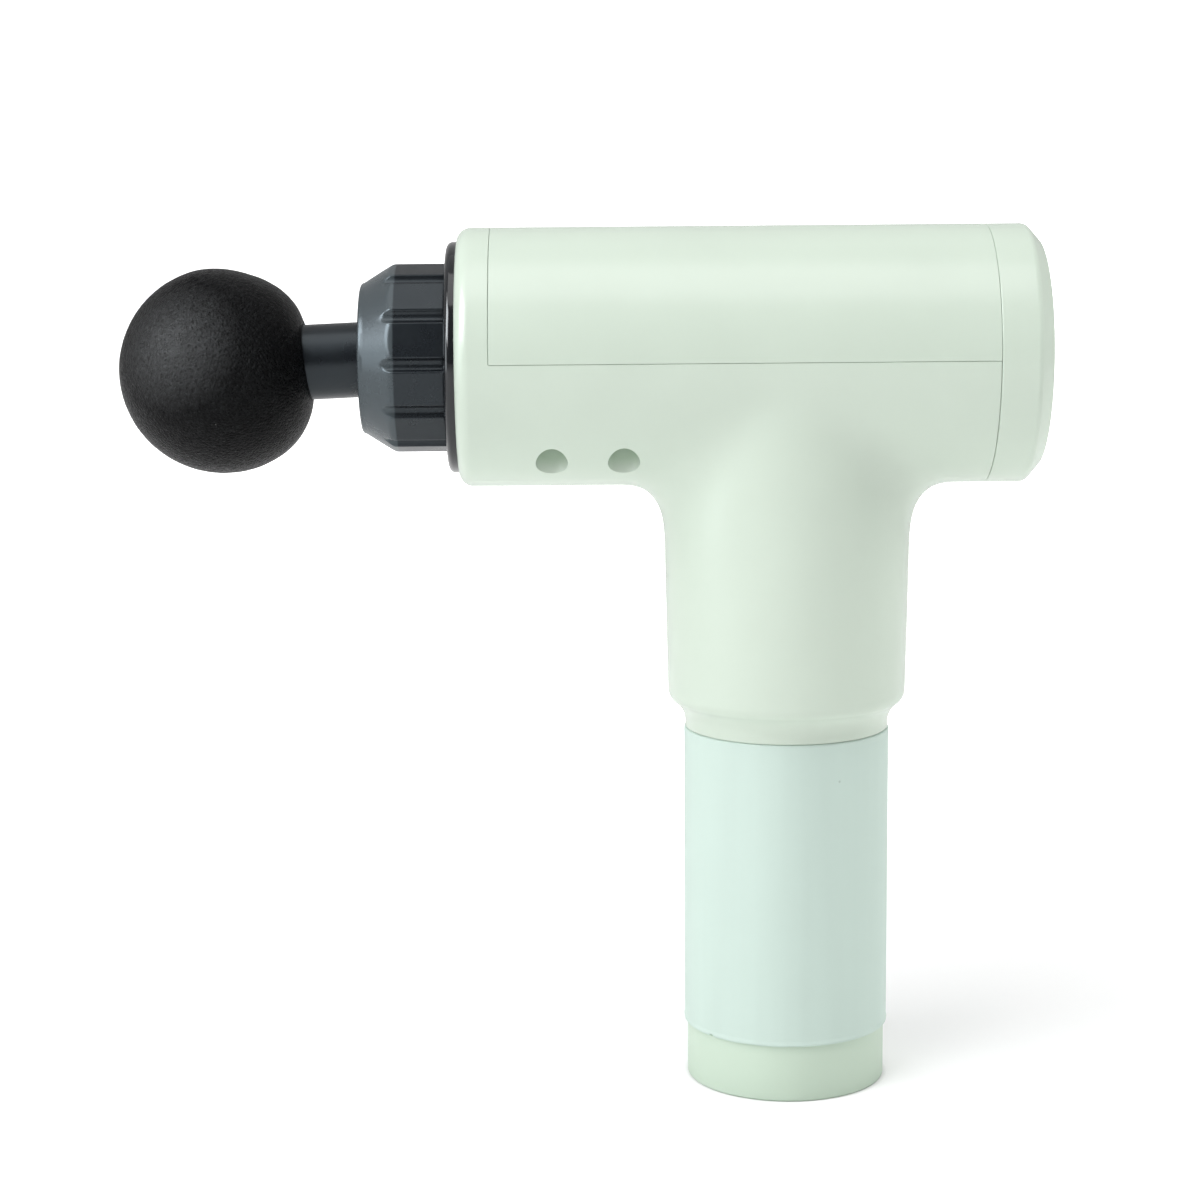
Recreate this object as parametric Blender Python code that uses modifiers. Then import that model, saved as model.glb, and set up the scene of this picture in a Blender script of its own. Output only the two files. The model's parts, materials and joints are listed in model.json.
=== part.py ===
"""Cordless massage gun: a T-shaped body, a Scotch-yoke drive and a battery handle.

Metres, +Z up. The origin is the centre of the flat base of the handle, and the head points to -X.
"""
from math import atan, cos, degrees, pi, radians, sin, sqrt

import bmesh
import bpy
from mathutils import Vector

# ---- driving dimensions ---------------------------------------------------------------------
GAP = 0.0003             # between pieces that touch
WALL = 0.0024            # moulded walls
AXIS_Z = 0.1807          # height of the barrel's axis
SEAM_Z = 0.1810          # height of the seam under the upper cover
BARREL_R = 0.0312
BARREL_IN = BARREL_R - WALL
FRONT_X = -0.0797        # front plane of the body
FRONT_ROUND = 0.0034     # rounded front edge
COVER_X = (-0.0717, 0.0474)
CAP_EDGE_X = 0.0569      # where the rear cap's chamfer starts
CAP_REAR_X = 0.0604
CAP_FACE_R = 0.0272

NECK_TOP = (0.0300, 0.140)      # radius and height near the junction
NECK_MID = (0.0298, 0.130)
NECK_LOW = (0.0292, 0.0993)      # where the shoulder starts to turn in
NECK_END = (0.0250, 0.0911)      # where the hollow under it ends
SHOULDER_SHARE = 0.35            # the shoulder's share of the two radii
HANDLE_SEAM_Z = 0.0894
FILLET_FRONT = (0.0086, 0.0117)     # how far the junction's fillet reaches along and down
FILLET_SIDE = (0.00075, 0.0065)     # the same at the sides of the barrel
NECK_BORE = 0.0266
NECK_LEDGE = (0.0210, 0.1056, 0.1081)       # radius and heights of the ledge above the handle's spigot
NECK_SOCKET = 0.0238                        # radius of the bore the spigot slides in

GRIP_R = 0.02525
GRIP_IN = 0.0237
GRIP_Z = (0.0140, 0.0892)
BASE_R = 0.02455
TUBE_R = 0.0234          # battery tube, inside the grip sleeve
TUBE_IN = 0.0219
TUBE_TOP = 0.1016
SPIGOT_TOP = 0.1040      # how far the battery handle reaches into the neck
BASE_SPIGOT = (0.0215, 0.0201, 0.0170)      # outer and inner radius, and top, of the base's spigot
CELL_R = 0.0092
CELL_Z = (0.0210, 0.0870)
CELL_RING = 0.0108       # radius of the circle the three cells stand on
HOLDER_R = 0.0214
CONTACT_X = 0.006        # the two battery contacts, to each side of the axis
SWITCH_Y = 0.0105
SWITCH_HALF = (0.0080, 0.0049, 0.0071, 0.0040)      # half sizes of the switch's body and of its room
SWITCH_Z = (0.0005, 0.0120)
ROCKER_Z = 0.0055        # height of the rocker's pivot
ROCKER_TILT = radians(-8)
SOCKET_Y = -0.0090
SOCKET_R = (0.0040, 0.0028, 0.0008)         # shell, bore and centre pin

COLLAR_X = (-0.1030, -0.09405, -0.0824)      # front face, end of the cone, back face
COLLAR_FRONT_R = 0.0177
COLLAR_FLAT_R = 0.02233  # from the axis to the middle of each flat
FLUTES = 12
FLUTE_R = 0.0017
LIP_X = -0.1006           # back of the collar's mouth, where the wiper lies
RING_R = 0.02785
RING_X = (-0.0822, -0.0799)
RING_ROUND = (0.0018, 0.0015)    # how far its front edge is rounded inwards and along

BALL_R = 0.0249
BALL_AT = Vector((-0.1368, 0.0, 0.1781))
BALL_DROOP = radians(6.5)
BALL_FLAT = 0.0215       # from the ball's centre to the flat around the stem
STEM_R = 0.0091
STEM_X = (-0.1270, -0.0640)
STEM_BORE = (0.0062, 0.045)     # radius and depth
SEAL_X = (-0.0855, -0.0705)
SEAL_GROOVE = (0.0016, 0.0012)  # width and depth

STROKE = 0.005           # to each side of mid-stroke
PISTON_R = 0.0120
PISTON_BORE = 0.0094
PISTON_X = (-0.0930, -0.0340)
BUSH_R = 0.0160
BUSH_IN = 0.0123
BUSH_X = (-0.0980, -0.0630)
BUSH_FLANGE = (0.0210, -0.0764, -0.0735)
YOKE_PIN = (-0.0450, 0.0015, 0.0110)        # place along X, radius and half length
SPIGOT_X = (-0.0540, -0.0345)               # the yoke's spigot inside the piston tube
SPIGOT_R = 0.0067

PIN_R = 0.0029
BEARING_R = 0.0065
YOKE_SLOT = (BEARING_R + 0.00125, 0.0123)   # half length along X and along Y
YOKE_BAR = 0.0034
YOKE_HALF = 0.0040       # half its thickness
YOKE_ARM = (0.0050, 0.0038)                 # half width and half thickness
CRANK_Z = (0.1706, 0.1760)
CRANK_R = 0.0090
WEIGHT_R = 0.0165        # reach of the counterweight
PIN_Z = (0.1745, 0.1842)
BEARING_Z = (0.1782, 0.1832)
BELL_R = 0.0195
BELL_Z = (0.1450, 0.1628)
PLATE_Z = (0.1648, 0.1678)
POST_R = 0.0240          # radius of the circle the bracket's posts stand on
POST_TURN = radians(30)
BEARING_TUBE = (0.0067, 0.0053, 0.1480)     # outer and inner radius, and lower end
SHAFT_R = 0.0025
CORE_Z = (0.1500, 0.1600)
MAGNETS = (0.0183, 0.0174, 0.1472, 0.1620)  # radii and heights

SCREW_X = (-0.0572, -0.0401)
SCREW_Y = 0.02025
WELL_R = 0.0038
WELL_TOP = 0.1656
COLUMN = (0.0052, 0.0042, 0.1690)           # lower and upper radius, and where they meet
PILOT_R = 0.0018         # holes for the shanks of the screws

PANEL_X = (0.0582, 0.0600)
PANEL_R = (0.0240, 0.0084)
PANEL_GROOVE = (0.0141, 0.0119, 0.0590)     # radii and depth of the groove for the light ring
BUTTON_R = (0.0080, 0.0093, 0.0020)         # cap, flange and plunger
DISPLAY_BOARD = (0.0250, 0.0502, 0.0518)
TACT = (0.0521, 0.0539, 0.0030)             # front, rear and half width of the button's switch
CARRIER = (0.0262, 0.1084, 0.1110)
DRIVER_BOARD = (0.0240, 0.1203, 0.1219)

# ---- scene ----------------------------------------------------------------------------------
for old in list(bpy.data.objects):
    bpy.data.objects.remove(old, do_unlink=True)

parts = bpy.data.collections.new("massage_gun")
cutters = bpy.data.collections.new("cutters")
bpy.context.scene.collection.children.link(parts)
bpy.context.scene.collection.children.link(cutters)


def material(name, colour, roughness, metallic=0.0):
    """A Principled material with one colour."""
    mat = bpy.data.materials.new(name)
    mat.use_nodes = True
    bsdf = mat.node_tree.nodes["Principled BSDF"]
    bsdf.inputs["Base Color"].default_value = (*colour, 1.0)
    bsdf.inputs["Roughness"].default_value = roughness
    bsdf.inputs["Metallic"].default_value = metallic
    return mat


MINT = material("mint_gloss_plastic", (0.69, 0.78, 0.68), 0.28)
MINT_BASE = material("mint_satin_plastic", (0.60, 0.71, 0.59), 0.45)
MINT_SOFT = material("mint_silicone", (0.62, 0.77, 0.68), 0.65)
CHARCOAL = material("charcoal_plastic", (0.035, 0.040, 0.044), 0.38)
BLACK = material("black_gloss_plastic", (0.012, 0.012, 0.013), 0.20)
FOAM = material("black_foam", (0.012, 0.012, 0.012), 0.85)
RUBBER = material("black_rubber", (0.02, 0.02, 0.02), 0.70)
WHITE = material("white_plastic", (0.75, 0.75, 0.73), 0.50)
LIGHT = material("light_guide", (0.85, 0.90, 0.88), 0.30)
STEEL = material("machined_steel", (0.56, 0.56, 0.57), 0.30, 1.0)
ALUMINIUM = material("die_cast_aluminium", (0.66, 0.67, 0.68), 0.40, 1.0)
COPPER = material("enamelled_copper", (0.55, 0.22, 0.09), 0.35, 1.0)
BRASS = material("gilt_brass", (0.72, 0.55, 0.25), 0.28, 1.0)
BOARD = material("circuit_board", (0.02, 0.12, 0.05), 0.45)
CELL = material("cell_sleeve", (0.05, 0.20, 0.42), 0.40)
WIRE = material("wire_insulation", (0.45, 0.03, 0.03), 0.50)


# ---- building blocks ------------------------------------------------------------------------
def link(name, mesh, at, paint):
    """A new object; with no material it is a cutter."""
    obj = bpy.data.objects.new(name, mesh)
    obj.location = at
    if paint is None:
        cutters.objects.link(obj)
        obj.hide_render = True
        obj.display_type = "WIRE"
    else:
        parts.objects.link(obj)
        obj.data.materials.append(paint)
    return obj


def lay_along(obj, axis):
    """Turns a piece made along Z so that its Z points along the world axis."""
    if axis == "X":
        obj.rotation_euler.y = pi / 2
    return obj


def turned(name, profile, paint=None, at=(0, 0, 0), axis="Z", steps=32):
    """A turned piece from (radius, height) points, down the outer side.

    The profile starts and ends on the axis, or else it closes on itself as a ring. It starts half
    a step round, so that pieces that cross have no edges in common.
    """
    mesh = bpy.data.meshes.new(name)
    first = pi / steps
    points = [(r * cos(first), r * sin(first), h) for r, h in profile]
    edges = [(i, i + 1) for i in range(len(points) - 1)]
    if profile[0][0] > 0:
        edges.append((len(points) - 1, 0))
    mesh.from_pydata(points, edges, [])
    obj = lay_along(link(name, mesh, at, paint), axis)
    screw = obj.modifiers.new("turn", "SCREW")
    screw.steps = steps
    screw.render_steps = steps
    screw.use_merge_vertices = True
    screw.merge_threshold = 0.00001
    screw.use_smooth_shade = True
    return obj


def rod(name, radius, low, high, paint=None, at=(0, 0), axis="Z", steps=16):
    """A round bar between two heights (or two places along X)."""
    where = (at[0], at[1], 0) if axis == "Z" else (0, at[0], at[1])
    return turned(name, [(0, high), (radius, high), (radius, low), (0, low)], paint, where, axis, steps)


def block(name, low, high, paint=None, bevel=0.0):
    """A box between two corners, with bevelled edges."""
    low, high = Vector(low), Vector(high)
    middle = (low + high) / 2
    bm = bmesh.new()
    bmesh.ops.create_cube(bm, size=1.0)
    bmesh.ops.scale(bm, vec=high - low, verts=bm.verts)
    mesh = bpy.data.meshes.new(name)
    bm.to_mesh(mesh)
    bm.free()
    obj = link(name, mesh, middle, paint)
    if bevel:
        edge = obj.modifiers.new("edge", "BEVEL")
        edge.width = bevel
        edge.segments = 1
    return obj


def plate(name, outline, low, high, paint=None, at=(0, 0, 0)):
    """A flat outline in X and Y, extruded between two heights."""
    bm = bmesh.new()
    corners = [bm.verts.new((x, y, low)) for x, y in outline]
    face = bm.faces.new(corners)
    grown = bmesh.ops.extrude_face_region(bm, geom=[face])
    tops = [v for v in grown["geom"] if isinstance(v, bmesh.types.BMVert)]
    bmesh.ops.translate(bm, verts=tops, vec=(0, 0, high - low))
    bmesh.ops.recalc_face_normals(bm, faces=bm.faces)
    mesh = bpy.data.meshes.new(name)
    bm.to_mesh(mesh)
    bm.free()
    return link(name, mesh, at, paint)


def boolean(obj, tool, operation):
    """Joins, cuts or trims a piece with a cutter."""
    mod = obj.modifiers.new(tool.name, "BOOLEAN")
    mod.operation = operation
    mod.object = tool
    return obj


def cut(obj, *tools):
    for tool in tools:
        boolean(obj, tool, "DIFFERENCE")
    return obj


def join(obj, *tools):
    for tool in tools:
        boolean(obj, tool, "UNION")
    return obj


def trim(obj, tool):
    return boolean(obj, tool, "INTERSECT")


def around(count, radius, first=0.0):
    """Places spread evenly on a circle, as (x, y)."""
    angles = [first + 2 * pi * i / count for i in range(count)]
    return [(radius * cos(a), radius * sin(a)) for a in angles]


def arc(centre, radius, start, end, count):
    """Points on an arc of a profile; degrees, 0 pointing outwards and 90 up."""
    steps = [radians(start + (end - start) * i / count) for i in range(count + 1)]
    return [(centre[0] + radius * cos(a), centre[1] + radius * sin(a)) for a in steps]


def hang(pieces, name, at):
    """Parents the pieces of a moving body to an empty on their joint's axis."""
    pivot = bpy.data.objects.new(name, None)
    pivot.location = at
    parts.objects.link(pivot)
    for piece in pieces:
        piece.parent = pivot
        piece.location = Vector(piece.location) - Vector(at)


# ---- body -----------------------------------------------------------------------------------
def barrel_core(name, radius, front, rear, rounded=0.0, paint=None, steps=48):
    """A solid cylinder on the barrel's axis, with its front edge rounded or sharp."""
    nose = [(radius, front)]
    if rounded:
        nose = arc((radius - rounded, front + rounded), rounded, 0, -90, 3)
    profile = [(0, rear), (radius, rear), *nose, (0, front)]
    return turned(name, profile, paint, (0, 0, AXIS_Z), "X", steps)


def neck_profile():
    """Radius and height up the neck's outside, from its lower end to the start of the fillet."""
    drop, step = NECK_LOW[1] - NECK_END[1], NECK_LOW[0] - NECK_END[0]
    turn = 2 * atan(step / drop)
    both = drop / sin(turn)
    out, hollow = both * SHOULDER_SHARE, both * (1 - SHOULDER_SHARE)
    foot = arc((NECK_END[0] + hollow, NECK_END[1]), hollow, 180, 180 - degrees(turn), 3)
    shoulder = arc((NECK_LOW[0] - out, NECK_LOW[1]), out, -degrees(turn), 0, 2)
    return [(NECK_END[0], HANDLE_SEAM_Z + GAP / 2), *foot, *shoulder[1:], NECK_MID]


def barrel_height(y, radius=BARREL_R):
    """Height of the underside of a cylinder on the barrel's axis."""
    return AXIS_Z - sqrt(radius * radius - y * y)


def fillet_point(angle, t, sunk=0.0002):
    """A point on the blend from the neck's wall (t = 0) out onto the barrel (t = 1)."""
    side = abs(sin(angle)) ** 3
    along = FILLET_FRONT[0] + (FILLET_SIDE[0] - FILLET_FRONT[0]) * side
    down = FILLET_FRONT[1] + (FILLET_SIDE[1] - FILLET_FRONT[1]) * side
    r = NECK_TOP[0]
    crease = barrel_height(r * sin(angle))
    outer = r + along
    landing = barrel_height(outer * sin(angle), BARREL_R - sunk)
    radius = (1 - t * t) * r + t * t * outer
    height = (1 - t) ** 2 * (crease - down) + 2 * t * (1 - t) * crease + t * t * landing
    return Vector((radius * cos(angle), radius * sin(angle), height))


def neck_loft(name, paint, count=40, fillet_steps=4):
    """The outside of the neck, flared where it runs into the barrel."""
    angles = [2 * pi * (i + 0.5) / count for i in range(count)]
    rings = [[(r * cos(a), r * sin(a), z) for a in angles] for r, z in neck_profile()]
    for step in range(fillet_steps + 1):
        rings.append([fillet_point(a, step / fillet_steps) for a in angles])
    inside = 0.022
    rings.append([(inside * cos(a), inside * sin(a), AXIS_Z - 0.002) for a in angles])
    bm = bmesh.new()
    loops = [[bm.verts.new(point) for point in ring] for ring in rings]
    for lower, upper in zip(loops, loops[1:]):
        for i in range(count):
            j = (i + 1) % count
            bm.faces.new((lower[i], lower[j], upper[j], upper[i]))
    bm.faces.new(list(reversed(loops[0])))
    bm.faces.new(loops[-1])
    mesh = bpy.data.meshes.new(name)
    bm.to_mesh(mesh)
    bm.free()
    return link(name, mesh, (0, 0, 0), paint)


def screw_places():
    """Where the four screws of the upper cover stand."""
    return [(x, y) for x in SCREW_X for y in (-SCREW_Y, SCREW_Y)]


def build_body():
    """The T-shaped housing, the upper cover, and the four screws between them."""
    body = neck_loft("body_shell", MINT)
    rear = COVER_X[1] - GAP / 2
    join(body, barrel_core("barrel_outside", BARREL_R, FRONT_X, rear, FRONT_ROUND))
    hollow = barrel_core("body_hollow", BARREL_IN, FRONT_X + 0.0030, 0.080)
    ledge, ledge_low, ledge_high = NECK_LEDGE
    bore_top = 0.172
    neck_bore = turned("neck_bore", [
        (0, bore_top), (NECK_BORE, bore_top), (NECK_BORE, ledge_high), (ledge, ledge_high),
        (ledge, ledge_low), (NECK_SOCKET, ledge_low), (NECK_SOCKET, 0.080), (0, 0.080)], steps=36)
    join(hollow, neck_bore, rod("bush_hole", BUSH_R + GAP, -0.090, -0.070, at=(0, AXIS_Z), axis="X", steps=28))
    wide, slim, step_z = COLUMN
    for i, (x, y) in enumerate(screw_places()):
        cut(hollow, turned(f"screw_column_{i}", [
            (0, 0.190), (slim, 0.190), (slim, step_z), (wide, step_z), (wide, 0.150), (0, 0.150)],
            at=(x, y, 0), steps=12))
    for i, (x, y) in enumerate(around(3, POST_R, POST_TURN)):
        cut(hollow, rod(f"bracket_post_{i}", 0.0032, 0.146, PLATE_Z[0] - GAP, at=(x, y), steps=12))
    for i, (x, y) in enumerate(screw_places()):
        join(hollow, turned(f"screw_well_{i}", [
            (0, 0.185), (PILOT_R, 0.185), (PILOT_R, WELL_TOP), (WELL_R, WELL_TOP), (WELL_R, 0.140), (0, 0.140)],
            at=(x, y, 0), steps=14))
    for i, (x, y) in enumerate(around(3, POST_R, POST_TURN)):
        join(hollow, rod(f"post_hole_{i}", PILOT_R, 0.156, 0.170, at=(x, y), steps=8))
    opening = block("cover_opening", (COVER_X[0] - GAP / 2, -0.04, SEAM_Z - GAP / 2), (0.090, 0.04, 0.230))
    cut(body, join(hollow, opening))

    front = COVER_X[0] + GAP / 2
    cover = barrel_core("upper_cover", BARREL_R, front, rear, paint=MINT)
    room = barrel_core("cover_room", BARREL_IN, front - 0.010, rear + 0.010)
    for i, (x, y) in enumerate(screw_places()):
        cut(room, rod(f"cover_post_{i}", 0.0036, 0.170, 0.220, at=(x, y), steps=12))
    below = block("cover_below", (-0.10, -0.04, 0.130), (0.080, 0.04, SEAM_Z + GAP / 2))
    cut(cover, join(room, below))
    for i, (x, y) in enumerate(screw_places()):
        cut(cover, rod(f"cover_hole_{i}", PILOT_R, 0.160, 0.194, at=(x, y), steps=8))
        screw(f"cover_screw_{i + 1}", (x, y), head_top=WELL_TOP - GAP, head=(0.0031, 0.0024), tip=0.1910)


def screw(name, at, head_top, head, tip):
    """A self-tapping screw driven upwards, or downwards when its tip is the lower end."""
    radius, height = head
    shank = 0.0013
    if tip > head_top:
        profile = [(0, tip), (shank, tip - 0.001), (shank, head_top), (radius, head_top),
                   (radius, head_top - height), (0, head_top - height)]
    else:
        profile = [(0, head_top), (radius, head_top), (radius, head_top - height),
                   (shank, head_top - height), (shank, tip + 0.001), (0, tip)]
    turned(name, profile, STEEL, (*at, 0), steps=10)


def build_rear():
    """Rear cap, control panel, light ring, button, its switch and the display board."""
    front = COVER_X[1] + GAP / 2
    spigot = BARREL_IN - 0.0004
    turned("rear_cap", [
        (CAP_FACE_R, CAP_REAR_X), (BARREL_R, CAP_EDGE_X), (BARREL_R, front), (spigot, front),
        (spigot, 0.0430), (0.0264, 0.0430), (0.0264, 0.0560), (0.0215, 0.0560),
        (0.0215, PANEL_X[0] - GAP), (PANEL_R[0] + GAP, PANEL_X[0] - GAP), (PANEL_R[0] + GAP, CAP_REAR_X)],
        MINT, (0, 0, AXIS_Z), "X", 48)
    (low, high), (outer, inner), (groove_out, groove_in, floor) = PANEL_X, PANEL_R, PANEL_GROOVE
    turned("control_panel", [
        (outer, high), (outer, low), (inner, low), (inner, high), (groove_in, high), (groove_in, floor),
        (groove_out, floor), (groove_out, high)], BLACK, (0, 0, AXIS_Z), "X", 24)
    turned("light_ring", [
        (groove_out - GAP, high), (groove_out - GAP, floor + GAP), (groove_in + GAP, floor + GAP),
        (groove_in + GAP, high)], LIGHT, (0, 0, AXIS_Z), "X", 24)
    cap_r, flange_r, plunger_r = BUTTON_R
    button = turned("speed_button", [
        (0, 0.0607), (cap_r - 0.001, 0.0604), (cap_r, 0.0598), (cap_r, 0.0573), (flange_r, 0.0573),
        (flange_r, 0.0565), (plunger_r, 0.0565), (plunger_r, 0.0546), (0, 0.0546)],
        BLACK, (0, 0, AXIS_Z), "X", 20)
    near, far, half = TACT
    block("tact_switch", (near, -half, AXIS_Z - half), (far, half, AXIS_Z + half), BLACK)
    radius, near, far = DISPLAY_BOARD
    rod("display_board", radius, near, far, BOARD, (0, AXIS_Z), "X", 24)
    hang([button], "speed_button_axis", (PANEL_X[1], 0, AXIS_Z))


def build_nose():
    """Flange ring, fluted collar, guide bush and wiper seal."""
    (front, back), (inwards, along) = RING_X, RING_ROUND
    edge = [(RING_R - inwards + inwards * r, front + along * (1 - h)) for r, h in arc((0, 0), 1, 0, 90, 3)]
    turned("flange_ring", [
        (RING_R, back), *edge, (BUSH_R + GAP, front), (BUSH_R + GAP, back)],
        BLACK, (0, 0, AXIS_Z), "X", 36)

    corner = COLLAR_FLAT_R / cos(pi / FLUTES)
    cone_r = corner + 0.0002
    collar = turned("nose_collar", [
        (cone_r, COLLAR_X[2]), (cone_r, COLLAR_X[1]), (COLLAR_FRONT_R, COLLAR_X[0]),
        (STEM_R + 0.0007, COLLAR_X[0]), (STEM_R + 0.0007, LIP_X), (BUSH_R + GAP, LIP_X),
        (BUSH_R + GAP, COLLAR_X[2])], CHARCOAL, (0, 0, AXIS_Z), "X", 36)
    prism = plate("collar_flats", around(FLUTES, corner), -0.12, -0.07)
    lay_along(prism, "X")
    prism.location.z = AXIS_Z
    trim(collar, prism)
    for i, (x, y) in enumerate(around(FLUTES, corner)):
        flute = rod(f"collar_flute_{i}", FLUTE_R, -0.12, -0.07, at=(y, AXIS_Z + x), axis="X", steps=10)
        cut(collar, flute)

    flange, near, far = BUSH_FLANGE
    turned("guide_bush", [
        (flange, far), (flange, near), (BUSH_R, near), (BUSH_R, BUSH_X[0]), (BUSH_IN, BUSH_X[0]),
        (BUSH_IN, BUSH_X[1]), (BUSH_R - 0.0008, BUSH_X[1]), (BUSH_R - 0.0008, far)],
        WHITE, (0, 0, AXIS_Z), "X", 24)
    near, far = LIP_X + GAP, BUSH_X[0] - 0.0004
    turned("wiper_seal", [
        (BUSH_R - 0.0005, far), (BUSH_R - 0.0005, near), (STEM_R + 0.0004, near), (STEM_R + 0.0004, far)],
        RUBBER, (0, 0, AXIS_Z), "X", 20)


# ---- head and piston ------------------------------------------------------------------------
def build_head():
    """Foam ball on its stem, with two sealing rings on the shank."""
    mesh = bpy.data.meshes.new("foam_ball")
    bm = bmesh.new()
    bmesh.ops.create_uvsphere(bm, u_segments=28, v_segments=16, radius=BALL_R)
    bm.to_mesh(mesh)
    bm.free()
    ball = link("foam_ball", mesh, BALL_AT, FOAM)
    ball.rotation_euler.y = pi / 2 - BALL_DROOP
    flat = block("ball_flat", (-0.03, -0.03, BALL_FLAT), (0.03, 0.03, BALL_FLAT + 0.03))
    flat.location = BALL_AT + Vector((cos(BALL_DROOP), 0, sin(BALL_DROOP))) * (BALL_FLAT + 0.015)
    flat.rotation_euler.y = pi / 2 - BALL_DROOP
    socket = rod("ball_socket", STEM_R + GAP, STEM_X[0] - GAP, -0.100, at=(0, AXIS_Z), axis="X", steps=24)
    cut(ball, flat, socket)

    groove, depth = SEAL_GROOVE
    bore, bore_depth = STEM_BORE
    profile = [(0, STEM_X[1]), (STEM_R - 0.0008, STEM_X[1]), (STEM_R, STEM_X[1] - 0.0008)]
    for x in reversed(SEAL_X):
        profile += [(STEM_R, x + groove / 2), (STEM_R - depth, x + groove / 2),
                    (STEM_R - depth, x - groove / 2), (STEM_R, x - groove / 2)]
    bottom = STEM_X[0] + bore_depth
    profile += [(STEM_R, STEM_X[0]), (bore, STEM_X[0]), (bore, bottom), (0, bottom)]
    stem = turned("head_stem", profile, CHARCOAL, (0, 0, AXIS_Z), "X", 20)
    seals = []
    for name, x in zip(("stem_seal_front", "stem_seal_rear"), SEAL_X):
        high, low = x + groove / 2 - 0.0002, x - groove / 2 + 0.0002
        seals.append(turned(name, [
            (STEM_R + 0.0001, high), (STEM_R + 0.0001, low), (STEM_R - depth + 0.0002, low),
            (STEM_R - depth + 0.0002, high)], RUBBER, (0, 0, AXIS_Z), "X", 20))
    hang([ball, stem, *seals], "head_release_axis", (STEM_X[0], 0, AXIS_Z))


def build_piston():
    """Piston tube with the Scotch yoke pinned into its rear end."""
    tube = turned("piston_tube", [
        (PISTON_R, PISTON_X[1]), (PISTON_R, PISTON_X[0]), (PISTON_BORE, PISTON_X[0]),
        (PISTON_BORE, -0.0610), (0.0045, -0.0610), (0.0045, -0.0560), (SPIGOT_R + GAP, -0.0560),
        (SPIGOT_R + GAP, PISTON_X[1])], ALUMINIUM, (0, 0, AXIS_Z), "X", 20)
    pin_x, pin_r, pin_half = YOKE_PIN
    low, high = AXIS_Z - 0.0190, AXIS_Z + 0.0190
    cut(tube, rod("pin_hole_tube", pin_r + 0.0002, low, high, at=(pin_x, 0), steps=12))

    long, wide = YOKE_SLOT[0] + YOKE_BAR, YOKE_SLOT[1] + 0.0030
    yoke = block("drive_yoke", (-long, -wide, AXIS_Z - YOKE_HALF), (long, wide, AXIS_Z + YOKE_HALF), STEEL, 0.0008)
    cut(yoke, block("yoke_slot", (-YOKE_SLOT[0], -YOKE_SLOT[1], low), (YOKE_SLOT[0], YOKE_SLOT[1], high)))
    across, up = YOKE_ARM
    arm = block("yoke_arm", (PISTON_X[1] - 0.0020, -across, AXIS_Z - up), (-long + 0.0015, across, AXIS_Z + up))
    join(yoke, arm, rod("yoke_spigot", SPIGOT_R, *SPIGOT_X, at=(0, AXIS_Z), axis="X", steps=20))
    cut(yoke, rod("pin_hole_yoke", pin_r + 0.0002, low, high, at=(pin_x, 0), steps=12))
    pin = rod("yoke_pin", pin_r, AXIS_Z - pin_half, AXIS_Z + pin_half, STEEL, (pin_x, 0), steps=12)
    hang([tube, yoke, pin], "head_stroke_axis", (PISTON_X[1], 0, AXIS_Z))


# ---- motor ----------------------------------------------------------------------------------
def star(name, hub, reach, tooth, low, high, bore=0.0, paint=None, teeth=9):
    """A hub with straight teeth, as a flat outline; the stator's core and the room around it."""
    outline = []
    for i in range(teeth):
        turn = 2 * pi * i / teeth
        half = tooth / 2
        for along, across in ((sqrt(hub * hub - half * half), -half), (reach, -half),
                              (reach, half), (sqrt(hub * hub - half * half), half)):
            outline.append((along * cos(turn) - across * sin(turn), along * sin(turn) + across * cos(turn)))
    obj = plate(name, outline, low, high, paint)
    if bore:
        cut(obj, rod(name + "_bore", bore, low - 0.01, high + 0.01, steps=24))
    return obj


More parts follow.
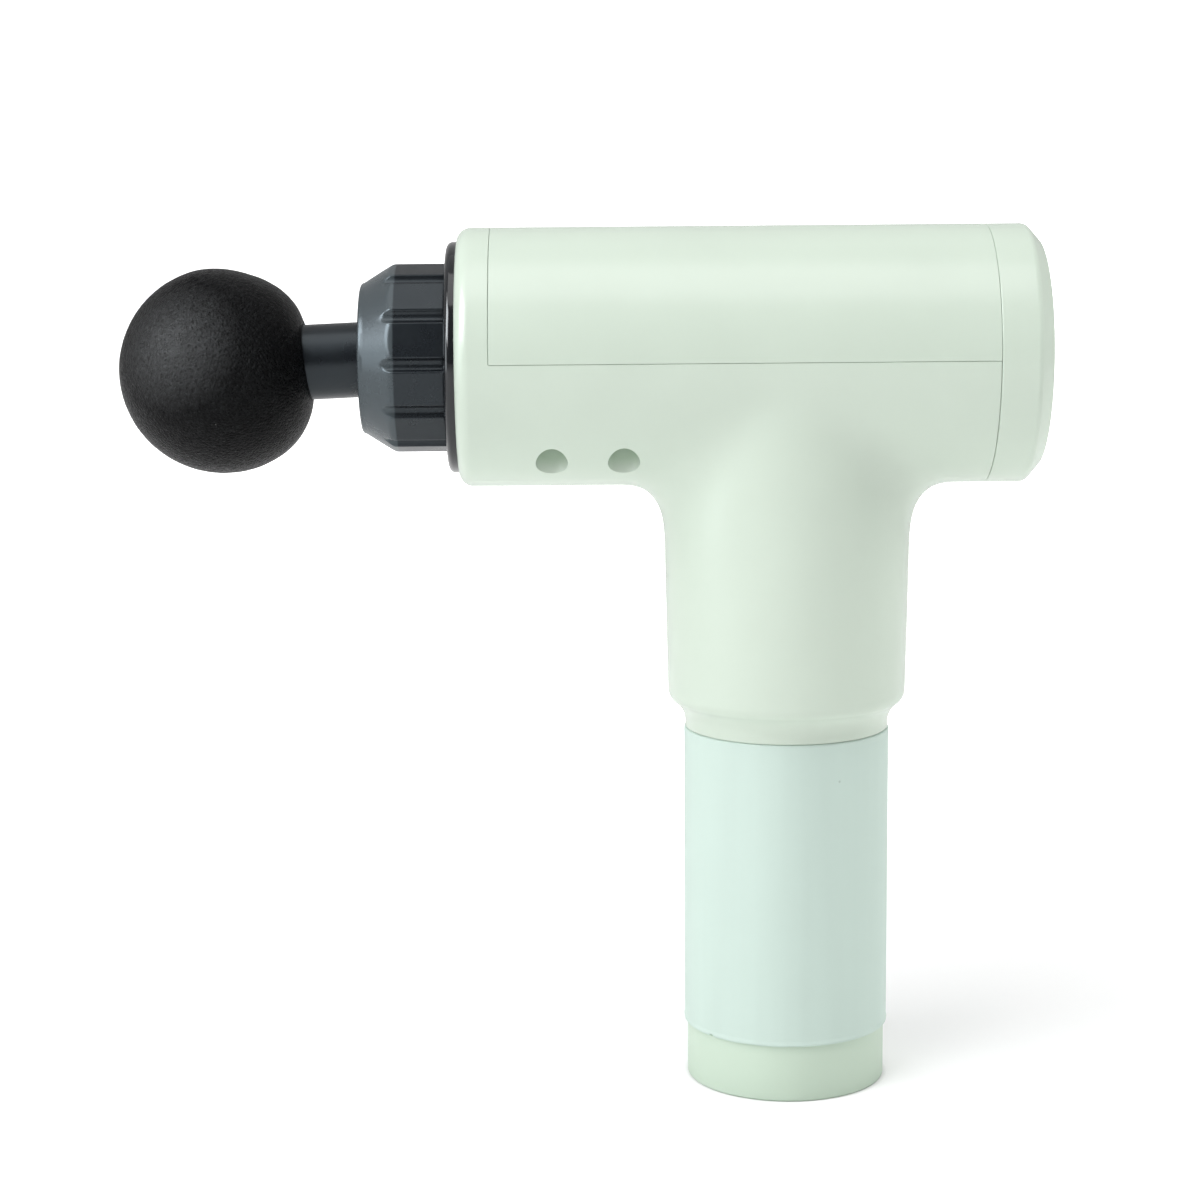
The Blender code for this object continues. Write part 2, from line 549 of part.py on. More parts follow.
def build_motor():
    """Bracket with its bearing tube, stator, rotor, and the crank on top of the shaft."""
    tube_r, tube_in, tube_low = BEARING_TUBE
    bracket = turned("motor_bracket", [
        (0.0215, PLATE_Z[1]), (0.0215, PLATE_Z[0]), (tube_r, PLATE_Z[0]), (tube_r, tube_low),
        (tube_in, tube_low), (tube_in, PLATE_Z[1])], ALUMINIUM, steps=24)
    ear_in = (POST_R - 0.0005) / POST_R
    for i, (x, y) in enumerate(around(3, POST_R, POST_TURN)):
        join(bracket, rod(f"bracket_ear_{i}", 0.0029, PLATE_Z[0] + 0.0001, PLATE_Z[1] - 0.0001,
                          at=(x * ear_in, y * ear_in)))
        cut(bracket, rod(f"ear_hole_{i}", 0.0016, 0.160, 0.175, at=(x, y), steps=12))
        screw(f"bracket_screw_{i + 1}", (x, y), head_top=PLATE_Z[1] + 0.0021, head=(0.0022, 0.0018), tip=0.1575)
    for name, low in (("motor_bearing_lower", 0.1484), ("motor_bearing_upper", 0.1636)):
        inner, outer, high = SHAFT_R + GAP, tube_in - GAP, low + 0.004
        turned(name, [(outer, high), (outer, low), (inner, low), (inner, high)], STEEL, steps=16)

    star("stator_core", 0.0090, 0.0168, 0.0030, *CORE_Z, bore=tube_r + GAP, paint=STEEL)
    windings = turned("stator_windings", [
        (0.0160, 0.1618), (0.0160, 0.1480), (0.0100, 0.1480), (0.0100, 0.1618)], COPPER, steps=18)
    cut(windings, star("winding_room", 0.0094, 0.0180, 0.0036, CORE_Z[0] - GAP, CORE_Z[1] + GAP))

    magnet_r, magnet_in, magnet_low, magnet_high = MAGNETS
    floor = BELL_Z[0] + 0.0016
    bell = turned("rotor_bell", [
        (BELL_R, BELL_Z[1]), (BELL_R, BELL_Z[0] + 0.001), (BELL_R - 0.001, BELL_Z[0]),
        (SHAFT_R + 0.0001, BELL_Z[0]), (SHAFT_R + 0.0001, floor), (magnet_r + GAP, floor),
        (magnet_r + GAP, BELL_Z[1])], STEEL, steps=24)
    magnets = turned("rotor_magnets", [
        (magnet_r, magnet_high), (magnet_r, magnet_low), (magnet_in, magnet_low),
        (magnet_in, magnet_high)], BLACK, steps=24)
    shaft = rod("motor_shaft", SHAFT_R - 0.0001, 0.1442, 0.1735, STEEL, steps=16)

    low, high = CRANK_Z
    crank = rod("crank_wheel", CRANK_R, low, high, STEEL, steps=20)
    sweep = [(WEIGHT_R * cos(a), WEIGHT_R * sin(a)) for a in (radians(190 + 20 * i) for i in range(9))]
    weight = [*sweep, (0.004, -0.0035), (-0.004, -0.0035)]
    join(crank, plate("crank_weight", weight, low + 0.0002, high - 0.0002))
    cut(crank, rod("crank_pin_hole", PIN_R + 0.0001, PIN_Z[0] - GAP, 0.190, at=(0, STROKE)))
    cut(crank, rod("crank_shaft_hole", SHAFT_R + GAP, 0.160, 0.1738, at=(0, 0)))
    pin = rod("crank_pin", PIN_R, *PIN_Z, STEEL, (0, STROKE))
    low, high = BEARING_Z
    bearing = turned("crank_bearing", [
        (BEARING_R, high), (BEARING_R, low), (PIN_R + 0.0002, low), (PIN_R + 0.0002, high)],
        STEEL, (0, STROKE, 0), steps=20)
    hang([bell, magnets, shaft, crank, pin, bearing], "motor_spin_axis", (0, 0, BELL_Z[0]))


# ---- electronics ----------------------------------------------------------------------------
def cable(name, points, radius=0.0010):
    """A round cable through the points, as a closed mesh."""
    curve = bpy.data.curves.new(name, "CURVE")
    curve.dimensions = "3D"
    curve.bevel_depth = radius
    curve.bevel_resolution = 1
    curve.use_fill_caps = True
    spline = curve.splines.new("POLY")
    spline.points.add(len(points) - 1)
    for point, place in zip(spline.points, points):
        point.co = (*place, 1.0)
    drawn = bpy.data.objects.new(name + "_curve", curve)
    parts.objects.link(drawn)
    bpy.context.view_layer.update()
    mesh = bpy.data.meshes.new_from_object(drawn.evaluated_get(bpy.context.evaluated_depsgraph_get()))
    bpy.data.objects.remove(drawn, do_unlink=True)
    bm = bmesh.new()
    bm.from_mesh(mesh)
    bmesh.ops.remove_doubles(bm, verts=bm.verts, dist=0.00001)
    bmesh.ops.recalc_face_normals(bm, faces=bm.faces)
    bm.to_mesh(mesh)
    bm.free()
    mesh.materials.clear()
    return link(name, mesh, (0, 0, 0), WIRE)


def build_electronics():
    """Contact carrier, contact pins, driver board and the cables, in the neck."""
    radius, low, high = CARRIER
    carrier = rod("contact_carrier", radius, low, high, BLACK, steps=24)
    pedestal_top = DRIVER_BOARD[1] - GAP
    join(carrier, block("carrier_pedestal", (-0.010, -0.005, high - 0.001), (0.010, 0.005, pedestal_top)))
    rod("driver_board", *DRIVER_BOARD, BOARD, steps=24)
    for name, x in (("contact_pin_plus", CONTACT_X), ("contact_pin_minus", -CONTACT_X)):
        cut(carrier, rod(name + "_hole", 0.0019, 0.100, 0.1150, at=(x, 0), steps=12))
        rod(name, 0.0016, 0.1044, 0.1145, BRASS, (x, 0), steps=12)
    cable("motor_cable", [
        (-0.0200, 0.0, 0.1223), (-0.0200, 0.0, 0.1250), (-0.0232, 0.0, 0.1310), (-0.0235, 0.0, 0.1605),
        (-0.0222, 0.0, 0.1638), (-0.0150, 0.0, 0.1638), (-0.0130, 0.0, 0.1634)], radius=0.0007)
    cable("panel_cable", [
        (0.0130, 0.0, 0.1222), (0.0130, 0.0, 0.1260), (0.0200, 0.0, 0.1340), (0.0235, 0.0, 0.1420),
        (0.0240, 0.0, 0.1600), (0.0260, 0.0, 0.1690), (0.0380, 0.0, 0.1730), (0.0497, 0.0, 0.1760)])


# ---- battery handle -------------------------------------------------------------------------
def build_handle():
    """Battery tube, grip sleeve, lid, cells and their holders, and the base cap."""
    low, high = GRIP_Z[0] + GAP / 2, GRIP_Z[1]
    sleeve = turned("grip_sleeve", [
        *arc((GRIP_R - 0.0005, high - 0.0005), 0.0005, 90, 0, 1),
        *arc((GRIP_R - 0.0008, low + 0.0008), 0.0008, 0, -90, 2),
        (GRIP_IN, low), (GRIP_IN, high)], MINT_SOFT, steps=40)
    tube = turned("battery_tube", [
        (TUBE_R, TUBE_TOP), (TUBE_R, 0.0142), (TUBE_IN, 0.0142), (TUBE_IN, TUBE_TOP)], WHITE, steps=32)
    lid = turned("pack_lid", [
        (0, SPIGOT_TOP), (0.0222, SPIGOT_TOP), (0.0232, SPIGOT_TOP - 0.001), (0.0232, TUBE_TOP + GAP),
        (0.0215, TUBE_TOP + GAP), (0.0215, 0.0975), (0.0200, 0.0975), (0.0200, 0.1000), (0, 0.1000)],
        BLACK, steps=24)
    pads = []
    for name, x in (("contact_pad_plus", CONTACT_X), ("contact_pad_minus", -CONTACT_X)):
        cut(lid, rod(name + "_seat", 0.0030, 0.1022, 0.110, at=(x, 0), steps=16))
        pads.append(rod(name, 0.0028, 0.1025, SPIGOT_TOP + 0.0001, BRASS, (x, 0), steps=16))

    lower = rod("cell_holder_lower", HOLDER_R, 0.0176, 0.0240, BLACK, steps=24)
    upper = rod("cell_holder_upper", HOLDER_R, 0.0841, 0.0905, BLACK, steps=24)
    cells = []
    bottom, top = CELL_Z
    for i, (x, y) in enumerate(around(3, CELL_RING, radians(90))):
        pocket = rod(f"cell_room_{i}", CELL_R + GAP, bottom - GAP, top + GAP, at=(x, y), steps=16)
        cut(lower, pocket)
        cut(upper, pocket)
        cells.append(turned(f"cell_{i + 1}", [
            (0, top), (0.0030, top), (0.0030, top - 0.0010), (CELL_R - 0.0008, top - 0.0010),
            (CELL_R, top - 0.0018), (CELL_R, bottom), (0, bottom)], CELL, (x, y, 0), steps=14))
    board = rod("pack_board", 0.0205, 0.0925, 0.0941, BOARD, steps=24)

    rim = GRIP_Z[0] - GAP / 2
    spigot, spigot_in, spigot_top = BASE_SPIGOT
    cap = turned("bottom_cap", [
        (0, WALL), (0.0221, WALL), (0.0221, 0.0090), (spigot_in, 0.0110), (spigot_in, spigot_top),
        (spigot, spigot_top), (spigot, rim), (BASE_R, rim), (BASE_R, 0.0), (0, 0.0)], MINT_BASE, steps=40)
    long, wide, room_long, room_wide = SWITCH_HALF
    low, high = SWITCH_Z
    cut(cap, block("switch_window", (-long - GAP, SWITCH_Y - wide - GAP, -0.010),
                   (long + GAP, SWITCH_Y + wide + GAP, 0.010)))
    cut(cap, rod("socket_hole", SOCKET_R[0] + GAP, -0.010, 0.010, at=(0, SOCKET_Y), steps=20))
    house = block("switch_body", (-long, SWITCH_Y - wide, low), (long, SWITCH_Y + wide, high), BLACK)
    cut(house, block("rocker_room", (-room_long, SWITCH_Y - room_wide, -0.010),
                     (room_long, SWITCH_Y + room_wide, high - 0.0020)))
    shell, bore, pin = SOCKET_R
    socket = turned("charge_socket", [
        (0, 0.0110), (shell, 0.0110), (shell, 0.0006), (bore, 0.0006), (bore, 0.0095),
        (pin, 0.0095), (pin, 0.0020), (0, 0.0020)], BLACK, (0, SOCKET_Y, 0), steps=20)

    pivot = Vector((0, SWITCH_Y, ROCKER_Z))
    rocker = build_rocker(pivot)
    hang([sleeve, tube, lid, *pads, lower, upper, *cells, board, cap, house, socket],
         "battery_pull_axis", (0, 0, 0))
    hang([rocker], "power_switch_axis", pivot)


def build_rocker(pivot):
    """The switch rocker in its off position, tilted about an axis along Y."""
    section = [(-0.0060, 0.0036), (-0.0062, 0.0016), (0, 0.0025), (0.0062, 0.0016), (0.0060, 0.0036),
               (0.0025, 0.0070), (-0.0025, 0.0070)]
    rocker = plate("switch_rocker", [(x, z - pivot.z) for x, z in section], -0.0037, 0.0037, CHARCOAL, pivot)
    rocker.rotation_euler = (pi / 2, ROCKER_TILT, 0)
    return rocker


build_body()
build_rear()
build_nose()
build_head()
build_piston()
build_motor()
build_electronics()
build_handle()
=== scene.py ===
"""Looks for the cordless massage gun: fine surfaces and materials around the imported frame."""

import json
from math import acos, atan, atan2, cos, pi, radians, sin, sqrt

import bmesh
import bpy
import numpy as np
from mathutils import Matrix, Vector, noise


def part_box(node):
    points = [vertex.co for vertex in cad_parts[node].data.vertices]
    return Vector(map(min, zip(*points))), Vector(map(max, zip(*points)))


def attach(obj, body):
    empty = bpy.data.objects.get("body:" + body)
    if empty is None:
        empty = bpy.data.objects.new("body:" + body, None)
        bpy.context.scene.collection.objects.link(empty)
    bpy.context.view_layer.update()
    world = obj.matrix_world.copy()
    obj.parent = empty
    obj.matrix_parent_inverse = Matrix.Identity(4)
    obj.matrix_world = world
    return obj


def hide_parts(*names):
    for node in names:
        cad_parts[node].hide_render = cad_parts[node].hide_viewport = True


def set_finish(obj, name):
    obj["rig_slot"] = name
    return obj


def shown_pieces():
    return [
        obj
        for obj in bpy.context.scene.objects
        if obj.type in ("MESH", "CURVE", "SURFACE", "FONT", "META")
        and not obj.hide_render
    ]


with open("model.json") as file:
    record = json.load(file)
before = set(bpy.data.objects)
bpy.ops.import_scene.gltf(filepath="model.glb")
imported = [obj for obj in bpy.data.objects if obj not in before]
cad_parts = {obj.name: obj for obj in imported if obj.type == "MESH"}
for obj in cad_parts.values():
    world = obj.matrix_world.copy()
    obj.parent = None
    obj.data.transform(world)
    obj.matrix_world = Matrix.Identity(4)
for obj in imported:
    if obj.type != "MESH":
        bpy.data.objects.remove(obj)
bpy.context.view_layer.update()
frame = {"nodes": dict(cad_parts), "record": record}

# ---- places, from the frame -----------------------------------------------------------------
GAP = 0.0003                              # between neighbouring CAD solids
WALL = 0.0024                             # of the mouldings


def radius_of(node, steps):
    """True radius of a turned node whose circle has this many flats."""
    low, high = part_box(node)
    return (high.y - low.y) / 2 / cos(pi / steps)


def middle_of(node):
    """Centre of a node, seen from above."""
    low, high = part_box(node)
    return (low.x + high.x) / 2, (low.y + high.y) / 2


BODY, COVER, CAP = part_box("body_shell"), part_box("upper_cover"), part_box("rear_cap")
RING, COLLAR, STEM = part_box("flange_ring"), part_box("nose_collar"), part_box("head_stem")
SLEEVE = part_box("grip_sleeve")
AXIS_Z = (RING[0].z + RING[1].z) / 2
BARREL_R = radius_of("rear_cap", 48)
BARREL_IN = BARREL_R - WALL
RING_R = radius_of("flange_ring", 36)
STEM_R = radius_of("head_stem", 20)
SLEEVE_R = radius_of("grip_sleeve", 40)
BASE_R = radius_of("bottom_cap", 40)
SEAM = 0.00008                            # width of the seams between the mouldings
SEAM_TOP = COVER[0].z                     # lower edge of the upper cover
SEAM_LOW = SEAM_TOP - SEAM                # upper edge of the body
CAP_FRONT = COVER[1].x + GAP              # front edge of the rear cap

NECK_R = 0.0300                           # where the neck meets the barrel
NECK_LOW = (0.0292, 0.0986)               # radius and height at the top of the shoulder
NECK_END = (0.0250, 0.0904)               # and at its foot
SHOULDER_SHARE = 0.35                     # of the shoulder's radii, taken by its outer round
FILLET_ALONG = (0.0126, 0.00090)          # reach of the junction's blend, fore and aft and at the sides
FILLET_DOWN = (0.0172, 0.0098)
FRONT_ROUND = 0.0034                      # edge of the body round the flange ring
NOSE_BORE = 0.0163                        # through the body's front, the flange ring and the collar
CAP_FACE_R = 0.0272                       # rear face of the rear cap
CAP_EDGE_X = 0.0569                       # where its chamfer starts
PANEL_X = 0.0600                          # outer face of the rear panel
WELL_R = 0.0038
COLLAR_FLAT_R = 0.02233                   # across the collar's flats, from the axis
FLUTES = 12
FLUTE_R = 0.0017
COLLAR_FRONT_R = 0.0177
CONE_LENGTH = 0.00895
HAIRLINE = 0.00002                        # keeps touching faces apart
BALL_AT = Vector((-0.1368, 0.0, 0.1781))
BALL_R = 0.0249
BALL_DROOP = radians(6.5)
BALL_FLAT = 0.0206
BALL_RIM = 0.0099                         # radius of the flat around the stem
STEM_SAG = 0.0417                         # slope at which the stem hangs in its play
SAG_FROM = -0.0970                        # where the stem starts to leave the barrel's axis

WORLD_POWER = (0.12, 0.66)                # towards the camera's side, and behind the object
FLOOR_TONE = 0.74
FLOOR_GLOW = 0.258
FLOOR_REFLECTED = (0.41, 0.15)            # towards matt and towards glossy surfaces
FLOOR_BOUNCE = 0.72
LIGHT_AIM = (-0.03, 0.0, 0.12)


# ---- mesh tools -----------------------------------------------------------------------------
def new_piece(name, verts, faces, weld=0.0):
    """A mesh object from points and faces."""
    mesh = bpy.data.meshes.new(name)
    mesh.from_pydata([tuple(v) for v in verts], [], [tuple(int(i) for i in f) for f in faces])
    if weld:
        bm = bmesh.new()
        bm.from_mesh(mesh)
        bmesh.ops.remove_doubles(bm, verts=bm.verts, dist=weld)
        bm.to_mesh(mesh)
        bm.free()
    mesh.update()
    obj = bpy.data.objects.new(name, mesh)
    bpy.context.scene.collection.objects.link(obj)
    return obj


def ring_faces(rows, count, closed_rows=False, skip=()):
    """Quads between neighbouring rows of a grid whose rows run right round; skip leaves out (row, column)."""
    faces = []
    last = rows if closed_rows else rows - 1
    for r in range(last):
        above = ((r + 1) % rows) * count
        for c in range(count):
            if (r, c) not in skip:
                d = (c + 1) % count
                faces.append((r * count + c, r * count + d, above + d, above + c))
    return faces


def rounded(points, segments=5):
    """A profile whose corners are arcs: each point is (radius, height) or (radius, height, corner radius)."""
    out = []
    count = len(points)
    for i, point in enumerate(points):
        here = np.array(point[:2], float)
        corner = point[2] if len(point) > 2 else 0.0
        if not corner:
            out.append(tuple(here))
            continue
        before = np.array(points[i - 1][:2], float) - here
        after = np.array(points[(i + 1) % count][:2], float) - here
        before, after = before / np.linalg.norm(before), after / np.linalg.norm(after)
        half = acos(max(-1.0, min(1.0, float(before @ after)))) / 2
        reach = corner / np.tan(half)
        middle = before + after
        centre = here + middle / np.linalg.norm(middle) * corner / sin(half)
        start, end = here + before * reach - centre, here + after * reach - centre
        sweep = atan2(start[0] * end[1] - start[1] * end[0], float(start @ end))
        for k in range(segments + 1):
            a = sweep * k / segments
            spin = np.array([[cos(a), -sin(a)], [sin(a), cos(a)]])
            out.append(tuple(centre + spin @ start))
    return out


def turned(name, profile, axis="Z", at=(0, 0), count=160):
    """A turned piece. The profile runs down the outer side; on the axis at both ends, or else a ring."""
    angles = 2 * pi * np.arange(count) / count
    verts = []
    for r, h in profile:
        a, b = r * np.cos(angles), r * np.sin(angles)
        height = np.full(count, h)
        if axis == "X":
            verts.append(np.stack([height, at[0] + b, at[1] - a], 1))
        else:
            verts.append(np.stack([at[0] + a, at[1] + b, height], 1))
    on_axis = profile[0][0] == 0
    faces = [f[::-1] for f in ring_faces(len(profile), count, closed_rows=not on_axis)]
    return new_piece(name, np.concatenate(verts), faces, weld=1e-7 if on_axis else 0.0)


def modifier(obj, kind, **settings):
    mod = obj.modifiers.new(kind.lower(), kind)
    for key, value in settings.items():
        setattr(mod, key, value)
    return mod


def applied(obj):
    """Makes the evaluated mesh the object's own."""
    mesh = bpy.data.meshes.new_from_object(obj.evaluated_get(bpy.context.evaluated_depsgraph_get()))
    obj.modifiers.clear()
    obj.data = mesh
    return obj


def cut_with(obj, *tools, operation="DIFFERENCE"):
    """Cuts or joins, applied at once; the tools are removed."""
    for tool in tools:
        modifier(obj, "BOOLEAN", operation=operation, solver="EXACT", object=tool)
    bpy.context.view_layer.update()
    applied(obj)
    for tool in tools:
        bpy.data.objects.remove(tool, do_unlink=True)
    return obj


def soft_edges(obj, width, angle=50, segments=3):
    modifier(obj, "BEVEL", width=width, segments=segments, limit_method="ANGLE",
             angle_limit=radians(angle), miter_outer="MITER_ARC")
    bpy.context.view_layer.update()
    return applied(obj)


def smooth(obj, angle=38):
    """Smooth shading with sharp creases, weighted by face area so that flats stay flat."""
    obj.data.shade_smooth()
    obj.data.set_sharp_from_angle(angle=radians(angle))
    modifier(obj, "WEIGHTED_NORMAL", keep_sharp=True, weight=60)
    bpy.context.view_layer.update()
    return applied(obj)


def box_piece(name, low, high):
    """A plain box, as a start for a piece with soft edges or as a cutter."""
    bm = bmesh.new()
    bmesh.ops.create_cube(bm, size=1.0)
    bmesh.ops.scale(bm, vec=Vector(high) - Vector(low), verts=bm.verts)
    bmesh.ops.translate(bm, vec=(Vector(low) + Vector(high)) / 2, verts=bm.verts)
    mesh = bpy.data.meshes.new(name)
    bm.to_mesh(mesh)
    bm.free()
    obj = bpy.data.objects.new(name, mesh)
    bpy.context.scene.collection.objects.link(obj)
    return obj


def stand_for(obj, node, body, slot):
    """The finished piece takes a CAD node's place on its body."""
    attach(obj, body)
    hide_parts(node)
    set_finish(obj, slot)
    return obj


# ---- body -----------------------------------------------------------------------------------
def underside(y, radius):
    """Height of the underside of a cylinder on the barrel's axis."""
    return AXIS_Z - np.sqrt(radius * radius - y * y)


def neck_radius(z, top):
    """The neck tapers a little towards its lower end."""
    full, low = 0.142, NECK_LOW[1]
    share = np.clip((full - z) / (full - low), 0, None)
    return top - (NECK_R - NECK_LOW[0]) * share ** 1.25


def blend_rows(angles, neck, barrel, along, down, rows):
    """Rows of the blend from the barrel down onto the neck, curvature running out at both ends."""
    side = np.abs(np.sin(angles)) ** 3
    along = along[0] + (along[1] - along[0]) * side
    down = down[0] + (down[1] - down[0]) * side
    out = []
    for step in range(rows + 1):
        t = step / rows
        b = [(1 - t) ** 5, 5 * t * (1 - t) ** 4, 10 * t ** 2 * (1 - t) ** 3,
             10 * t ** 3 * (1 - t) ** 2, 5 * t ** 4 * (1 - t), t ** 5]
        pull = 0.70
        u = along * (b[0] + b[1] * 0.5 + b[2] * (1 - pull))
        h = down * (b[3] * (1 - pull) + b[4] * 0.5 + b[5])
        radius = neck + u
        z = underside(radius * np.sin(angles), barrel) - h
        radius = radius - (neck - neck_radius(z, neck))
        out.append(np.stack([radius * np.cos(angles), radius * np.sin(angles), z], 1))
    return out


def barrel_rows(angles, landing, barrel, limits, rows):
    """Rows on the lower half of the barrel, from its straight borders in to the blend."""
    x_in = landing[:, 0]
    w_in = np.arcsin(np.clip(landing[:, 1] / barrel, -1, 1))
    front, rear, wide = limits
    reach_x = np.where(x_in > 0, rear / np.maximum(x_in, 1e-9), front / np.minimum(x_in, -1e-9))
    reach_w = wide / np.maximum(np.abs(w_in), 1e-9)
    reach = np.minimum(reach_x, reach_w)
    x_out, w_out = x_in * reach, w_in * reach
    for corner in ((front, wide), (front, -wide), (rear, wide), (rear, -wide)):
        nearest = np.argmin(((x_out - corner[0]) / 0.03) ** 2 + (w_out - corner[1]) ** 2)
        x_out[nearest], w_out[nearest] = corner
    out = []
    for row in range(rows):
        s = 1 - row / rows
        x, w = x_in + (x_out - x_in) * s, w_in + (w_out - w_in) * s
        out.append(np.stack([x, barrel * np.sin(w), AXIS_Z - barrel * np.cos(w)], 1))
    return out, x_out, w_out


def neck_end_profile():
    """Radius and height from the shoulder round to the neck's lower edge."""
    drop, step = NECK_LOW[1] - NECK_END[1], NECK_LOW[0] - NECK_END[0]
    turn = 2 * atan(step / drop)
    both = drop / sin(turn)
    out, hollow = both * SHOULDER_SHARE, both * (1 - SHOULDER_SHARE)
    points = []
    for k in range(13):
        a = -turn * k / 12
        points.append((NECK_LOW[0] - out + out * cos(a), NECK_LOW[1] + out * sin(a)))
    for k in range(1, 13):
        a = pi - turn * (1 - k / 12)
        points.append((NECK_END[0] + hollow + hollow * cos(a), NECK_END[1] + hollow * sin(a)))
    end = SLEEVE[1].z + SEAM
    return points + [(NECK_END[0], NECK_END[1] * 0.5 + end * 0.5), (NECK_END[0], end)]


def t_body(name, count=320):
    """The lower half of the barrel with the neck, and the full ring at the front, as one shell."""
    angles = 2 * pi * (np.arange(count) + 0.5) / count
    front, rear = COVER[0].x - SEAM, CAP_FRONT - SEAM
    wide = acos((AXIS_Z - SEAM_LOW) / BARREL_R)
    limits = (front, rear, wide)

    blend = blend_rows(angles, NECK_R, BARREL_R, FILLET_ALONG, FILLET_DOWN, 26)
    outer, x_out, w_out = barrel_rows(angles, blend[0], BARREL_R, limits, 18)
    outer += blend
    start = blend[-1][:, 2]
    for k in range(1, 14):
        z = start + (NECK_LOW[1] - start) * k / 14
        r = neck_radius(z, NECK_R)
        outer.append(np.stack([r * np.cos(angles), r * np.sin(angles), z], 1))
    for r, z in neck_end_profile():
        outer.append(np.stack([r * np.cos(angles), r * np.sin(angles), np.full(count, z)], 1))

    end = neck_end_profile()[-1][1]
    inner_neck, socket, ledge = 0.0266, 0.0238, 0.0210
    ledge_low, ledge_high = 0.1056, 0.1081
    rows = [(socket, end), (socket, ledge_low), (ledge, ledge_low), (ledge, ledge_high),
            (inner_neck, ledge_high)]
    inner = [np.stack([r * np.cos(angles), r * np.sin(angles), np.full(count, z)], 1) for r, z in rows]
    hidden = blend_rows(angles, inner_neck, BARREL_IN, (0.0040, 0.0006), (0.0050, 0.0030), 5)
    for row in hidden:
        flat = np.sqrt(row[:, 0] ** 2 + row[:, 1] ** 2)
        scale = np.maximum(inner_neck, flat) / flat
        row[:, 0] *= scale
        row[:, 1] *= scale
    inner += hidden[::-1]
    x_in = hidden[0][:, 0]
    w_in = np.arcsin(np.clip(hidden[0][:, 1] / BARREL_IN, -1, 1))
    for k in range(1, 6):
        x, w = x_in + (x_out - x_in) * k / 5, w_in + (w_out - w_in) * k / 5
        inner.append(np.stack([x, BARREL_IN * np.sin(w), AXIS_Z - BARREL_IN * np.cos(w)], 1))

    grid = outer + inner
    rows = len(grid)
    at_front = np.abs(x_out - front) < 1e-7
    shared = {(rows - 1, c) for c in range(count) if at_front[c] and at_front[(c + 1) % count]}
    faces = ring_faces(rows, count, closed_rows=True, skip=shared)
    verts = np.concatenate(grid)

    lower = sorted(w_out[at_front])
    spare = 2 * pi - 2 * wide
    upper = [wide + spare * k / 70 for k in range(1, 70)]
    ring_angles = np.array(list(lower) + upper)
    face, web = BODY[0].x, BODY[0].x + 0.0030
    nose = rounded([
        (BARREL_R, front), (BARREL_R, face, FRONT_ROUND), (NOSE_BORE, face, 0.0003), (NOSE_BORE, web),
        (BARREL_IN, web), (BARREL_IN, front)], segments=12)
    size = len(ring_angles)
    ring = [np.stack([np.full(size, h), r * np.sin(ring_angles), AXIS_Z - r * np.cos(ring_angles)], 1)
            for r, h in nose]
    open_wall = {(len(nose) - 1, c) for c in range(len(lower) - 1)}
    ring_quads = ring_faces(len(nose), size, closed_rows=True, skip=open_wall)
    base = len(verts)
    faces += [tuple(base + i for i in f) for f in ring_quads]
    obj = new_piece(name, np.concatenate([verts, *ring]), faces, weld=2e-7)
    bm = bmesh.new()
    bm.from_mesh(obj.data)
    bmesh.ops.recalc_face_normals(bm, faces=bm.faces)
    bm.to_mesh(obj.data)
    bm.free()
    return obj


def well_places():
    """Centres of the four cover screws, which stand in the wells."""
    return [middle_of(f"cover_screw_{i}") for i in range(1, 5)]


# ---- housing --------------------------------------------------------------------------------
def column(name, x, y, top, radius=0.0052, count=40):
    """A screw column: a rod whose lower end follows the middle of the barrel's wall."""
    wall = BARREL_R - WALL / 2
    angles = 2 * pi * np.arange(count) / count
    rows = []
    for r, at_top in ((0.0005, True), (radius, True), (radius, False), (radius * 0.5, False), (0.0005, False)):
        px, py = x + r * np.cos(angles), y + r * np.sin(angles)
        pz = np.full(count, top) if at_top else underside(py, wall)
        rows.append(np.stack([px, py, pz], 1))
    faces = [f[::-1] for f in ring_faces(len(rows), count)]
    faces.append(tuple(range(count)))
    faces.append(tuple((len(rows) - 1) * count + c for c in reversed(range(count))))
    return new_piece(name, np.concatenate(rows), faces)


def build_body():
    body = soft_edges(t_body("body_moulding"), 0.00030)
    floor, top, mouth, hole = 0.1656, 0.1690, 0.1400, 0.0017
    columns, wells = [], []
    for i, (x, y) in enumerate(well_places()):
        columns.append(column(f"column_{i}", x, y, top))
        wells.append(turned(f"well_{i}", [
            (0, top + 0.001), (hole, top + 0.001), (hole, floor), (WELL_R, floor), (WELL_R, mouth),
            (0, mouth)], at=(x, y), count=64))
    cut_with(body, *columns, operation="UNION")
    cut_with(body, *wells)
    return stand_for(smooth(body), "body_shell", "housing", "mint_gloss_plastic")


def build_cover(count=96):
    """The lid over the top half of the barrel."""
    drop = SEAM_TOP - AXIS_Z
    loop = []
    for radius, way in ((BARREL_R, 1), (BARREL_IN, -1)):
        start = acos(drop / radius)
        for k in range(count + 1):
            a = way * (-start + 2 * start * k / count)
            loop.append((radius * sin(a), AXIS_Z + radius * cos(a)))
    lengths = np.linspace(COVER[0].x, CAP_FRONT - SEAM, 9)
    verts = [(x, y, z) for x in lengths for y, z in loop]
    size = len(loop)
    faces = ring_faces(len(lengths), size)
    faces.append(tuple(reversed(range(size))))
    faces.append(tuple((len(lengths) - 1) * size + c for c in range(size)))
    cover = facing_out(new_piece("cover_moulding", verts, faces))
    return stand_for(smooth(soft_edges(cover, 0.00010)), "upper_cover", "housing", "mint_gloss_plastic")


